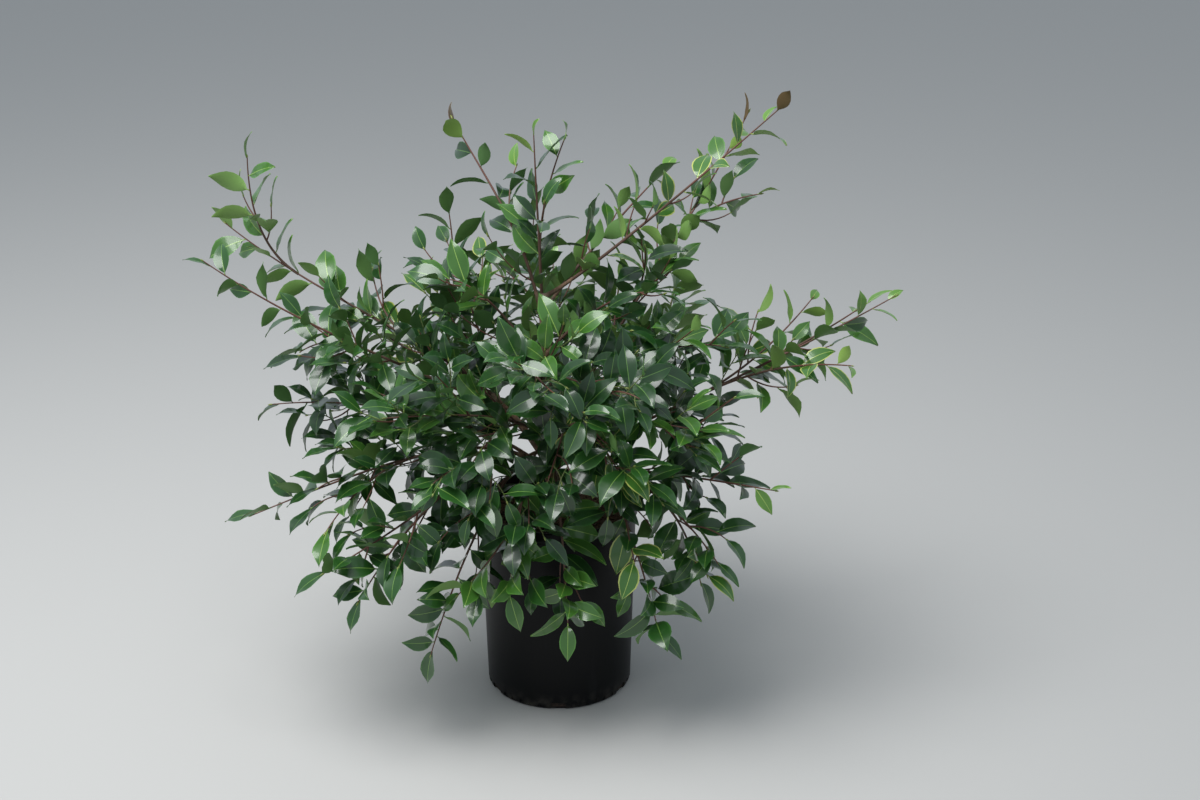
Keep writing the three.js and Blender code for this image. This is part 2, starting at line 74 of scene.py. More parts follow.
Colour = tuple[float, float, float, float]
Faces = list[tuple[int, ...]]
Draw = tuple[float, float]  # the least that a random number can be, and how much more


# -------------------------------- small helpers


def paint(code: str) -> Colour:
    """Turns a six-digit screen colour into a linear one.

    Args:
        code: Red, green and blue, two hexadecimal digits each.

    Returns:
        Linear red, green, blue and an alpha of 1.
    """
    parts = [int(code[i : i + 2], 16) / 255 for i in (0, 2, 4)]
    red, green, blue = (c / 12.92 if c <= 0.04045 else ((c + 0.055) / 1.055) ** 2.4 for c in parts)
    return red, green, blue, 1.0


def between(first: float, last: float, share: float) -> float:
    """Returns the number at a share of the way from first to last."""
    return first + (last - first) * share


def clamp(value: float) -> float:
    """Returns value held between 0 and 1."""
    return min(1.0, max(0.0, value))


def half_up(value: float) -> int:
    """Returns the nearest whole number, with halves rounded up."""
    return math.floor(value + 0.5)


def place(bearing: float, reach: float, height: float) -> Vector:
    """Returns the point at a bearing, a distance from the axis and a height."""
    angle = math.radians(bearing)
    return Vector((reach * math.cos(angle), reach * math.sin(angle), height))


def ring(sides: int, reach: float, height: float = 0) -> list[tuple[float, float, float]]:
    """Returns points at even turns round the axis, anticlockwise from +X."""
    turns = [2 * math.pi * k / sides for k in range(sides)]
    return [(reach * math.cos(turn), reach * math.sin(turn), height) for turn in turns]


def tube_faces(rings: int, sides: int) -> Faces:
    """Gives the faces of a closed tube whose rings of corners follow each other.

    Args:
        rings: Number of rings.
        sides: Corners in each.

    Returns:
        The end at the first ring, the end at the last, then the wall from the first ring on.
    """
    last = (rings - 1) * sides
    faces = [tuple(reversed(range(sides))), tuple(range(last, last + sides))]
    for low in range(0, last, sides):
        for k in range(sides):
            beside = (k + 1) % sides
            faces.append((low + k, low + beside, low + sides + beside, low + sides + k))
    return faces


def fan(start: int, sides: int, pole: int) -> Faces:
    """Returns the triangles from the ring of corners that starts at a number to a pole."""
    return [(start + k, start + (k + 1) % sides, pole) for k in range(sides)]


def mesh_of(name: str, corners: Sequence, faces: Sequence, edges: Sequence = ()) -> bpy.types.Mesh:
    """Makes a mesh with smooth faces.

    Args:
        name: Its name.
        corners: Its corners, in millimetres.
        faces: The numbers of each face's corners.
        edges: The numbers of the corners of each edge that is on no face.

    Returns:
        The mesh, in metres.
    """
    mesh = bpy.data.meshes.new(name)
    mesh.from_pydata((np.array(corners, dtype=float) * MM).tolist(), list(edges), list(faces))
    mesh.polygons.foreach_set("use_smooth", [True] * len(mesh.polygons))
    return mesh


def object_of(name: str, mesh: bpy.types.Mesh) -> bpy.types.Object:
    """Puts a mesh into the scene.

    Args:
        name: The object's name.
        mesh: Its mesh.

    Returns:
        The object, at the origin.
    """
    made = bpy.data.objects.new(name, mesh)
    bpy.context.scene.collection.objects.link(made)
    return made


def store(mesh: bpy.types.Mesh, name: str, kind: str, domain: str, values: Sequence) -> None:
    """Keeps one value for each point, edge or face of a mesh as a named attribute."""
    mesh.attributes.new(name, kind, domain).data.foreach_set("value", np.array(values).ravel())


class Dice:
    """A random number source that gives the same run for the same seed."""

    WORD = 0xFFFFFFFF
    STRIDE = 0x6D2B79F5

    def __init__(self, seed: int) -> None:
        """Starts the run that belongs to a seed."""
        self.state = seed & self.WORD

    def roll(self) -> float:
        """Gives the next number.

        Returns:
            A number from 0 up to 1.
        """
        self.state = (self.state + self.STRIDE) & self.WORD
        mixed = (self.state ^ (self.state >> 15)) * (1 | self.state) & self.WORD
        mixed = (mixed + ((mixed ^ (mixed >> 7)) * (61 | mixed) & self.WORD) & self.WORD) ^ mixed
        return (mixed ^ (mixed >> 14)) / (self.WORD + 1)

    def swing(self, play: float) -> float:
        """Returns a number from minus half of play to plus half of it."""
        return play * (self.roll() - 0.5)

    def draw(self, least: float, play: float) -> float:
        """Returns a number from least up to play more than that."""
        return least + play * self.roll()


# -------------------------------- lines that limbs follow


class Curve:
    """A Bezier curve that is measured by share of its length."""

    DIVISIONS = 200

    def __init__(self, *handles: Vector) -> None:
        """Measures the curve.

        Args:
            handles: Its first point, the handles that it bends to, and its last point.
        """
        self.handles = np.array(handles)
        self.steps = np.linspace(0, 1, self.DIVISIONS + 1)
        strides = np.linalg.norm(np.diff(self._mix(self.handles, self.steps), axis=0), axis=1)
        self.marks = np.concatenate([[0.0], np.cumsum(strides)])
        self.length = float(self.marks[-1])

    @staticmethod
    def _mix(handles: np.ndarray, steps: np.ndarray) -> np.ndarray:
        """Weighs the handles together.

        Args:
            handles: One row for each handle.
            steps: The curve's own parameter at each place.

        Returns:
            One row for each step.
        """
        top = len(handles) - 1
        weights = [math.comb(top, k) * steps**k * (1 - steps) ** (top - k) for k in range(top + 1)]
        return np.stack(weights, axis=-1) @ handles

    def _step(self, share: float) -> np.ndarray:
        """Returns the curve's own parameter at a share of its length."""
        return np.interp(share * self.length, self.marks, self.steps)

    def at(self, share: float) -> Vector:
        """Returns the point at a share of the length."""
        return Vector(self._mix(self.handles, self._step(share)))

    def tangent(self, share: float) -> Vector:
        """Returns the direction at a share of the length."""
        return Vector(self._mix(np.diff(self.handles, axis=0), self._step(share))).normalized()


class Line:
    """The part of a curve between two shares of its length, with corners at even steps."""

    def __init__(self, curve: Curve, step: float, start: float = 0.0, end: float = 1.0) -> None:
        """Takes part of a curve.

        Args:
            curve: The whole curve.
            step: Rough distance between corners.
            start: Share of the curve where the part starts.
            end: Share of the curve where it ends.
        """
        self.curve = curve
        self.start = start
        self.end = end
        self.length = curve.length * (end - start)
        self.count = max(1, half_up(self.length / step))
        self.sides = self._sides()

    def at(self, share: float) -> Vector:
        """Returns the point at a share of the line."""
        return self.curve.at(between(self.start, self.end, share))

    def tangent(self, share: float) -> Vector:
        """Returns the direction at a share of the line."""
        return self.curve.tangent(between(self.start, self.end, share))

    def _sides(self) -> list[tuple[Vector, Vector]]:
        """Turns a pair of sides along the line, as little as the line allows.

        Returns:
            The normal and binormal at each corner.
        """
        ways = [self.tangent(i / self.count) for i in range(self.count + 1)]
        axis = min(range(3), key=lambda k: (abs(ways[0][k]), -k))
        flattest = Vector(float(k == axis) for k in range(3))
        normal = ways[0].cross(ways[0].cross(flattest).normalized())
        sides = [(normal, ways[0].cross(normal))]
        for before, way in zip(ways, ways[1:]):
            normal = before.rotation_difference(way) @ normal
            sides.append((normal, way.cross(normal)))
        return sides

    def branching(self, share: float, turn: float, spread: float = 90) -> Vector:
        """Gives the way in which something leaves the line.

        Args:
            share: Where it leaves, as a share of the line.
            turn: Its side of the line.
            spread: The angle between it and the line.

        Returns:
            A unit vector.
        """
        ahead = self.tangent(share)
        normal, binormal = self.sides[min(self.count - 1, int(share * self.count))]
        side = normal * math.sin(math.radians(turn)) - binormal * math.cos(math.radians(turn))
        side = (side - ahead * side.dot(ahead)).normalized()
        return ahead * math.cos(math.radians(spread)) + side * math.sin(math.radians(spread))

    def rings(self, reaches: Sequence[float], sides: int, way: int = 1) -> list[Vector]:
        """Stands rings of corners round the line, at even steps.

        Args:
            reaches: Radius of each ring.
            sides: Corners in each.
            way: 1 or -1, the way round in which they follow each other.

        Returns:
            The corners, ring by ring.
        """
        last = len(reaches) - 1
        turns = [way * 360 * k / sides for k in range(sides)]
        return [
            self.at(i / last) + self.branching(i / last, turn) * reach
            for i, reach in enumerate(reaches)
            for turn in turns
        ]


# -------------------------------- the plan of the shrub


class LimbPlan(NamedTuple):
    """One limb: where it springs from, where its tip is, and how it bends on the way."""

    name: str
    springs_from: str
    at: float  # share of the bough, or the trunk, that it springs from
    bearing: float
    reach: float
    height: float
    rise: float  # of the first handle, which lies over the foot
    drop: float  # of the second handle, below the tip
    bare: float  # length of the bough, before the leaves
    radius: float
    twiggy: float  # share of the rest that bears twigs


class ForkPlan(NamedTuple):
    """A second leader that forks off a limb's first one."""

    limb: str
    at: float
    bearing: float
    reach: float
    height: float


LIMB_PLANS = [
    LimbPlan("top", "trunk", 0.97, 224, 43, 940, 300, 190, 290, 6.5, 0.4),
    LimbPlan("left_high", "trunk", 0.9, 167, 545, 752, 180, 150, 150, 5.5, 0.6),
    LimbPlan("right_upper", "trunk", 0.93, 27, 340, 925, 150, 230, 120, 6.0, 0.7),
    LimbPlan("right_reach", "trunk", 0.8, 1, 530, 668, 60, 125, 100, 5.2, 0.5),
    LimbPlan("left_reach", "trunk", 0.62, 194, 490, 350, 130, -60, 80, 5.0, 0.7),
    LimbPlan("front_left", "trunk", 0.72, 252, 232, 255, 110, -220, 50, 5.0, 0.8),
    LimbPlan("front_right", "trunk", 0.6, 328, 390, 432, 55, 10, 95, 5.0, 0.7),
    LimbPlan("back_left", "trunk", 0.7, 138, 400, 500, 90, -20, 70, 5.0, 0.8),
    LimbPlan("back_right", "trunk", 0.66, 54, 400, 540, 90, 10, 70, 5.0, 0.8),
    LimbPlan("back", "trunk", 0.82, 92, 380, 620, 140, 40, 90, 5.0, 0.8),
    LimbPlan("right_high", "top", 0.97, 350, 342, 985, 30, 130, 60, 3.8, 0.5),
    LimbPlan("back_high", "top", 0.88, 54, 305, 812, 40, 50, 50, 3.4, 0.5),
    LimbPlan("top_left", "top", 0.8, 146, 195, 925, 150, 90, 60, 3.8, 0.4),
    LimbPlan("crown_left", "top", 0.52, 182, 170, 700, 50, 0, 30, 3.4, 1),
    LimbPlan("crown_right", "top", 0.62, 345, 150, 690, 40, 0, 30, 3.4, 1),
    LimbPlan("front_crown", "top", 0.34, 262, 200, 600, 50, -20, 25, 3.6, 1),
    LimbPlan("left_low", "left_high", 0.55, 187, 535, 748, 70, 150, 70, 4.2, 0.5),
    LimbPlan("left_crown", "left_high", 0.9, 140, 236, 715, 60, 60, 50, 3.8, 1),
    LimbPlan("right_shoulder", "right_upper", 0.85, 346, 270, 610, 60, -10, 40, 3.6, 1),
    LimbPlan("left_middle", "left_reach", 0.5, 179, 455, 486, 70, -20, 60, 3.8, 0.7),
    LimbPlan("left_droop", "left_reach", 0.85, 216, 374, 250, 30, -150, 50, 3.6, 0.8),
    LimbPlan("right_droop", "front_right", 0.6, 322, 320, 300, 40, -110, 45, 3.6, 0.8),
    LimbPlan("front_right_hang", "front_right", 0.6, 308, 262, 180, 80, -200, 50, 3.6, 0.8),
    LimbPlan("front_hang", "front_left", 0.75, 275, 220, 205, 50, -220, 50, 3.6, 0.8),
    LimbPlan("left_foot", "front_left", 0.85, 230, 300, 165, 60, -210, 50, 3.6, 0.6),
    LimbPlan("back_low", "back", 0.4, 84, 370, 380, 30, -90, 55, 3.6, 1),
    LimbPlan("front_left_mid", "trunk", 0.86, 236, 240, 455, 130, -60, 35, 4.2, 1),
    LimbPlan("front_right_mid", "trunk", 0.84, 296, 225, 455, 130, -60, 35, 4.2, 1),
]

FORK_PLANS = [
    ForkPlan("left_high", 0.72, 170, 490, 870),
    ForkPlan("left_high", 0.3, 156, 330, 672),
    ForkPlan("left_low", 0.42, 173, 415, 560),
    ForkPlan("top", 0.2, 330, 18, 925),
    ForkPlan("top_left", 0.3, 120, 127, 850),
    ForkPlan("right_upper", 0.25, 344, 142, 764),
    ForkPlan("right_upper", 0.55, 24, 355, 795),
    ForkPlan("right_reach", 0.3, 12, 420, 640),
    ForkPlan("right_reach", 0.5, 7, 500, 640),
    ForkPlan("right_reach", 0.35, 341, 470, 612),
    ForkPlan("left_reach", 0.35, 207, 395, 350),
    ForkPlan("left_droop", 0.3, 212, 415, 300),
    ForkPlan("front_left", 0.45, 235, 260, 260),
    ForkPlan("right_droop", 0.4, 322, 285, 260),
    ForkPlan("back", 0.35, 112, 320, 640),
    ForkPlan("front_left_mid", 0.3, 212, 300, 530),
    ForkPlan("front_right_mid", 0.3, 320, 290, 520),
    ForkPlan("front_crown", 0.3, 300, 200, 570),
    ForkPlan("front_right_mid", 0.15, 266, 180, 430),
]

GROWING_LIMBS = {  # those whose leaders end in young leaves
    "top", "top_left", "right_upper", "right_high", "right_reach",
    "front_right", "back", "back_high", "back_left",
}
BRONZE_LIMBS = {"top_left", "right_upper", "right_high"}  # those with a bronze leaf at the very tip


@dataclass
class Limb:
    """A limb worked out from its plan: a bare bough and the leaders that go on from it."""

    plan: LimbPlan
    bough: Line
    leaders: list[Line]


@dataclass
class Skeleton:
    """The trunk's line and every limb's."""

    soil_top: float
    height: float = 96
    lean: float = 11
    lean_bearing: float = 185
    bend: float = 0.45  # share of the height where the trunk leaves the upright
    near_handle: float = 0.16  # share of a limb's level run at its first handle
    far_handle: float = 0.62  # and at its second
    fork_handle: float = 0.45  # share of a fork's run for which it keeps to the first leader's way
    bough_step: float = 50
    leader_step: float = 70
    limbs: dict[str, Limb] = field(default_factory=dict)

    def __post_init__(self) -> None:
        """Works out the trunk, then each limb from the one that it springs from."""
        foot = Vector((0, 0, self.soil_top + GAP))
        bend = Vector((0, 0, self.soil_top + self.height * self.bend))
        lean = self.height * math.tan(math.radians(self.lean))
        self.trunk = Curve(foot, bend, foot + place(self.lean_bearing, lean, self.height))
        for plan in LIMB_PLANS:
            self.limbs[plan.name] = self._limb(plan)
        for plan in FORK_PLANS:
            self.limbs[plan.limb].leaders.append(self._fork(plan))

    def _limb(self, plan: LimbPlan) -> Limb:
        """Works out a limb whose first handle lies over its foot and the second near its tip.

        Args:
            plan: The limb's plan.

        Returns:
            The limb, with its first leader.
        """
        parent = self.trunk if plan.springs_from == "trunk" else self.limbs[plan.springs_from].bough
        foot = parent.at(plan.at)
        tip = place(plan.bearing, plan.reach, plan.height)
        out = Vector((tip.x - foot.x, tip.y - foot.y, 0))
        first = foot + out * self.near_handle + UP * plan.rise
        second = foot + out * self.far_handle
        second.z = plan.height - plan.drop
        curve = Curve(foot, first, second, tip)
        bough = Line(curve, self.bough_step, 0, plan.bare / curve.length)
        leader = Line(curve, self.leader_step, (plan.bare + GAP) / curve.length)
        return Limb(plan, bough, [leader])

    def _fork(self, plan: ForkPlan) -> Line:
        """Works out a second leader, which leaves the first one smoothly.

        Args:
            plan: The fork's plan.

        Returns:
            The leader.
        """
        leader = self.limbs[plan.limb].leaders[0]
        foot = leader.at(plan.at)
        tip = place(plan.bearing, plan.reach, plan.height)
        handle = foot + leader.tangent(plan.at) * (tip - foot).length * self.fork_handle
        return Line(Curve(foot, handle, tip), self.leader_step)


# -------------------------------- room between the leaves


class Guard(NamedTuple):
    """A closed shape, for finding out what it would cut."""

    tree: BVHTree
    low: np.ndarray
    high: np.ndarray


def guard_of(corners: Sequence[Vector], faces: Sequence[Sequence[int]]) -> Guard:
    """Returns the guard of a mesh."""
    spots = np.array(corners)
    return Guard(BVHTree.FromPolygons(corners, faces), spots.min(axis=0), spots.max(axis=0))


def bar_guard(line: Line, foot: float, top: float, sides: int = 3, step: float = 20) -> Guard:
    """Gives the guard of a tapered bar round a line.

    Args:
        line: The line.
        foot: Radius where it starts.
        top: Radius where it ends.
        sides: Number of faces round it.
        step: Rough length of each straight step.

    Returns:
        The guard.
    """
    count = max(line.count, half_up(line.length / step))
    reaches = [between(foot, top, i / count) for i in range(count + 1)]
    return guard_of(line.rings(reaches, sides), tube_faces(count + 1, sides))


class Thicket:
    """Everything that has its place already, so that nothing new cuts through it."""

    ROOM = 8000  # most guards that it can keep

    def __init__(self) -> None:
        """Starts empty."""
        self.low = np.zeros((self.ROOM, 3))
        self.high = np.zeros((self.ROOM, 3))
        self.trees: list[BVHTree] = []
        self.owners: list[object] = []

    def add(self, guard: Guard, owner: object) -> None:
        """Keeps a guard.

        Args:
            guard: The guard.
            owner: What it belongs to, or None.
        """
        self.low[len(self.trees)] = guard.low
        self.high[len(self.trees)] = guard.high
        self.trees.append(guard.tree)
        self.owners.append(owner)

    def meets(self, guard: Guard, spare: object) -> bool:
        """Tells whether a guard cuts anything that has its place.

        Args:
            guard: The guard.
            spare: The owner whose guards it may meet.

        Returns:
            True if it meets a guard of any other owner.
        """
        count = len(self.trees)
        apart = (self.low[:count] > guard.high) | (self.high[:count] < guard.low)
        near = np.flatnonzero(~apart.any(axis=1))
        return any(self.owners[i] is not spare and guard.tree.overlap(self.trees[i]) for i in near)


# -------------------------------- leaf and bud shapes


class LeafPart(Enum):
    """A part of a leaf that has its own finish, with the number that marks its faces."""

    BLADE = 0
    MIDRIB = 1  # and the stalk
    UNDERSIDE = 2
    MARGIN = 3

    @property
    def input(self) -> str:
        """Name of the tree's input that takes its finish."""
        return self.name.title()


@dataclass(frozen=True)
class LeafShape:
    """A folded, drooping blade on a short stalk, one unit long, glossy side to +Z."""

    width: float = 0.44
    widest: float = 0.46  # share of the blade from its base
    fullness: float = 0.88  # below 1, the outline is rounder
    point: float = 0.5  # share of the width that is drawn in towards the tip
    point_from: float = 0.66
    point_over: float = 0.34
    blunt: float = 0.004  # half width left at the very tip
    stalk: float = 0.08
    stalk_radius: float = 0.014
    fold: float = 0.22  # rise of each half, as a slope
    cup: float = 0.25  # share of that rise lost again at the rim
    lift: float = 12  # slope at the base
    droop: float = 34  # how far the slope falls by the tip
    droop_late: float = 1.3  # above 1, it falls more near the tip
    twist: float = 0
    wave: float = 0.015
    waves: float = 9  # turn of the wave along the blade, in radians
    wave_shift: float = 2  # of the right half against the left
    rib: float = 0.01
    rib_taper: float = 0.7
    rib_most: float = 0.4  # share of the half width that the rib may take
    keel: float = 0.018  # depth of the midrib underneath
    keel_base: float = 1.25  # share of that depth at the base, which falls by 1 to the tip
    margin: float = 0.86  # share of the half width where the margin starts

    STATIONS = (0, 0.07, 0.17, 0.3, 0.45, 0.61, 0.76, 0.9, 1)
    ROUND = (180, 150, 110, 70, 30, 0, 270)  # where each column stands round the stalk
    PARTS = (  # of the faces round the blade
        LeafPart.MARGIN,
        LeafPart.BLADE,
        LeafPart.MIDRIB,
        LeafPart.BLADE,
        LeafPart.MARGIN,
        LeafPart.UNDERSIDE,
        LeafPart.UNDERSIDE,
    )
    GUARD_FOOT = 0.1  # places of the guard's corners, as shares of the leaf's length
    GUARD_MIDDLE = 0.45
    GUARD_TIP = 0.96
    GUARD_DROP = 0.16
    GUARD_THICKNESS = 4  # in the middle, whatever the length

    def half_width(self, share: float) -> float:
        """Gives half of the blade's width.

        Args:
            share: Share of the blade from its base.

        Returns:
            The half width there.
        """
        swell = math.sin(math.pi * share ** (math.log(0.5) / math.log(self.widest))) ** self.fullness
        drawn = 1 - self.point * clamp((share - self.point_from) / self.point_over)
        return self.width / 2 * swell * drawn + self.blunt

    def section(self, share: float) -> list[tuple[float, float]]:
        """Gives the blade's cross-section, from the left rim over the top and back underneath.

        Args:
            share: Share of the blade from its base.

        Returns:
            Seven pairs of distance to the right and height.
        """
        half = self.half_width(share)
        rib = min(self.rib * (1 - self.rib_taper * share), half * self.rib_most)
        spots = []
        for across in (-half, -self.margin * half, -rib, rib, self.margin * half, half):
            phase = self.waves * share + (self.wave_shift if across > 0 else 0)
            ripple = self.wave * math.sin(phase) * abs(across) / half
            cup = self.cup * self.fold * across**2 / half
            spots.append((across, self.fold * abs(across) - cup + ripple))
        spots.append((0, -self.keel * (self.keel_base - share)))
        return spots

    def rings(self) -> list[list[Vector]]:
        """Stands the sections along the leaf.

        Returns:
            The corners of every ring, from the foot of the stalk to the tip.
        """
        rings = [self._ring(0, 0, self.lift, self._round())]
        y = self.stalk
        z = 0.0
        for k, share in enumerate(self.STATIONS):
            slope = self.lift - self.droop * share**self.droop_late
            if k:
                stride = (share - self.STATIONS[k - 1]) * (1 - self.stalk)
                y += stride * math.cos(math.radians(slope))
                z += stride * math.sin(math.radians(slope))
            turn = math.radians(self.twist * share)
            flat = self.section(share) if k else self._round()
            tilted = [
                (x * math.cos(turn) - h * math.sin(turn), x * math.sin(turn) + h * math.cos(turn))
                for x, h in flat
            ]
            rings.append(self._ring(y, z, slope, tilted))
        return rings

    def _round(self) -> list[tuple[float, float]]:
        """Returns the stalk's round section."""
        angles = [math.radians(angle) for angle in self.ROUND]
        return [(self.stalk_radius * math.cos(a), self.stalk_radius * math.sin(a)) for a in angles]

    @staticmethod
    def _ring(y: float, z: float, slope: float, section: Sequence[tuple[float, float]]) -> list[Vector]:
        """Returns a section stood across the leaf's middle line, where that has a slope."""
        tilt = math.radians(slope)
        return [Vector((x, y - h * math.sin(tilt), z + h * math.cos(tilt))) for x, h in section]

    def mesh(self, name: str) -> bpy.types.Mesh:
        """Makes the leaf's closed mesh, one metre long.

        Args:
            name: The mesh's name.

        Returns:
            The mesh. Its attribute "part" holds the number of each face's part.
        """
        rings = self.rings()
        sides = len(self.ROUND)
        faces = tube_faces(len(rings), sides)
        for number, face in enumerate(faces[2:], 2):
            if (number - 2) % sides >= sides - 2:  # underneath, so that both sides fold alike
                faces[number] = (*face[1:], face[0])
        mesh = mesh_of(name, [spot / MM for level in rings for spot in level], faces)
        parts = [LeafPart.MIDRIB] * (2 + sides) + list(self.PARTS) * (len(rings) - 2)
        store(mesh, "part", "INT", "FACE", [part.value for part in parts])
        rims = (0, sides - 2)
        sharp = [all(v >= sides and v % sides in rims for v in edge.vertices) for edge in mesh.edges]
        store(mesh, "sharp_edge", "BOOLEAN", "EDGE", sharp)
        return mesh

    def guard(self, root: Vector, along: Vector, face: Vector, length: float) -> Guard:
        """Gives the guard of a leaf: a flat, drooping kite with some thickness in the middle.

        Args:
            root: Where the leaf starts.
            along: The way it lies.
            face: The way of its upper side.
            length: Its length.

        Returns:
            The guard.
        """
        across = along.cross(face)
        middle = root + along * (self.GUARD_MIDDLE * length)
        half = across * (self.width / 2 * length)
        rise = face * (self.fold * self.width / 3 * length)  # two thirds of the rims' own
        foot = root + along * (self.GUARD_FOOT * length)
        tip = root + along * (self.GUARD_TIP * length) - face * (self.GUARD_DROP * length)
        thick = face * (self.GUARD_THICKNESS / 2)
        corners = [foot, middle + half + rise, tip, middle - half + rise]
        corners += [middle + thick, middle - thick]
        return guard_of(corners, [(k, (k + 1) % 4, pole) for k in range(4) for pole in (4, 5)])


LEAF = LeafShape()

LEAF_SHAPES = [
    LEAF,
    LeafShape(fold=0.32, droop=46, twist=10),
    LeafShape(fold=0.14, droop=24, wave=0.025),
    LeafShape(width=0.42, fold=0.4, droop=40, twist=-12),
    LeafShape(width=0.48, fold=0.18, droop=52, lift=18),
    LeafShape(fold=0.26, droop=20, lift=6, twist=14, wave=0.022),
]


@dataclass(frozen=True)
class BudShape:
    """A pointed bud, one unit long."""

    radius: float = 0.21
    sides: int = 6

    OUTLINE = ((0, 0.5), (0.2, 0.95), (0.5, 0.9), (0.8, 0.45), (1, 0.05))  # place, share of radius

    def mesh(self, name: str) -> bpy.types.Mesh:
        """Makes the bud's closed mesh, one metre long.

        Args:
            name: The mesh's name.

        Returns:
            The mesh.
        """
        corners = [
            (x / MM, y / MM, -z / MM)
            for y, wide in self.OUTLINE
            for x, z, _ in ring(self.sides, self.radius * wide)
        ]
        return mesh_of(name, corners, tube_faces(len(self.OUTLINE), self.sides))


# -------------------------------- how the foliage grows


class Tone(Enum):
    """The colour of a spray of leaves."""

    DEEP = "deep"
    MIDDLE = "middle"
    FRESH = "fresh"
    YOUNG = "young"
    EDGED = "edged"
    BRONZE = "bronze"


class Wood(Enum):
    """The age of a stem."""

    OLD = "old"
    YOUNG = "young"
    GREEN = "green"


class Kind(Enum):
    """The rank of a shoot."""

    LEADER = "leader"
    TWIG = "twig"
    SPUR = "spur"


@dataclass(eq=False)
class Shoot:
    """A stem that bears leaves."""

    line: Line
    kind: Kind
    foot: float  # radius where it starts
    top: float  # and where it ends
    limb: Limb
    tone: Tone = Tone.DEEP

    def guard(self) -> Guard:
        """Returns the guard of the bare stem."""
        return bar_guard(self.line, self.foot, self.top)


class Growth(NamedTuple):
    """The place of one leaf or bud."""

    root: Vector
    turn: Quaternion
    length: float
    shape: int = 0
    tone: Tone | None = None


def turned(along: Vector, face: Vector) -> Quaternion:
    """Returns the turn that lays +Y along one way and +Z along another at right angles to it."""
    across = along.cross(face)
    return Matrix((across, along, face)).transposed().to_quaternion()


@dataclass(frozen=True)
class Habit:
    """The rule by which twigs, spurs and leaves follow each other."""

    heart_across: float = -50  # the heart's middle, left of the pot's
    heart_height: float = 505
    heart_reach: float = 328
    heart_rise: float = 158

    leader_radius: float = 2.9
    fork_radius: float = 2.3
    tip_radius: float = 0.9

    twig_every: float = 46
    twig_place: Draw = (0.3, 0.4)  # within its own stretch of the leader
    twig_turn_play: float = 50
    first_twig: float = 120
    last_twig: float = 66
    twig_size: Draw = (0.8, 0.4)
    twig_spread: float = 52
    twig_radius: float = 1.5
    twig_step: float = 70
    twig_rise: float = 0.2  # share of its length that a twig turns up, or down on a hanging limb
    hanging_from: float = -0.15  # climb of the limb below which it turns down
    twig_checks: tuple[float, float] = (0.6, 1)  # where it has to lie in its own limb's space
    outer_twig: float = 0.5  # size of the twigs outside the heart
    shrink_from: float = 0.9  # how far out twigs begin to shrink
    shrink_over: float = 0.7

    spur_length: float = 42
    spur_size: Draw = (0.7, 0.6)
    spur_radius: float = 1.0
    spur_tip: float = 0.8  # share of the other stems' radius at the tip
    spur_step: float = 20

    fresh_from: float = 0.5  # sprays turn fresher from here out
    fresh_over: float = 1.6
    young_from: float = 0.85  # share of a leader from which its leaves can be young
    young_climb: float = -0.4  # as long as it climbs more steeply than this

    whip_leaf_every: float = 29
    hanging_leaf_every: float = 17
    leaf_every: float = 23
    outer_gap: float = 1.4  # how much wider leaves stand on twigs outside the heart
    spur_leaf_every: float = 13
    crowding: float = 0.85  # below 1, leaves stand closer towards a shoot's tip
    hanging_crowding: float = 0.5
    first_leaf: float = 0.22
    first_whip_leaf: float = 0.05
    last_leaf: float = 0.97

    leaf_length: float = 70
    leaf_size: Draw = (0.76, 0.4)
    high_leaf: float = 0.92  # size of the leaves at the top
    high_from: float = 480
    high_over: float = 330
    tip_leaf: float = 0.85
    new_leaf: float = 0.8

    leaf_turn_play: float = 40
    leaf_spread: float = 54
    hanging_leaf_spread: float = 72
    tip_spread: float = 22
    leaf_spread_play: float = 24
    leaf_roll_play: float = 50
    outer_leaf_roll_play: float = 180
    leaf_sag: float = 0.16
    leaf_outward: float = 0.7  # how much its face turns outwards, as against up
    tries: int = 3
    next_try: float = 100  # turn from one try to the next

    bud_length: float = 7
    bud_size: Draw = (0.8, 0.4)

    def from_heart(self, spot: Vector) -> float:
        """Returns how far out a spot lies: 0 in the middle of the heart and 1 at its edge."""
        level = math.hypot(spot.x - self.heart_across, spot.y) / self.heart_reach
        return math.hypot(level, (spot.z - self.heart_height) / self.heart_rise)


HABIT = Habit()

TONE_CHANCES = {  # for a spray in the heart, and for one far outside it
    Tone.DEEP: (0.5, 0.12),
    Tone.MIDDLE: (0.36, 0.36),
    Tone.FRESH: (0.12, 0.44),
    Tone.EDGED: (0.02, 0.08),
}


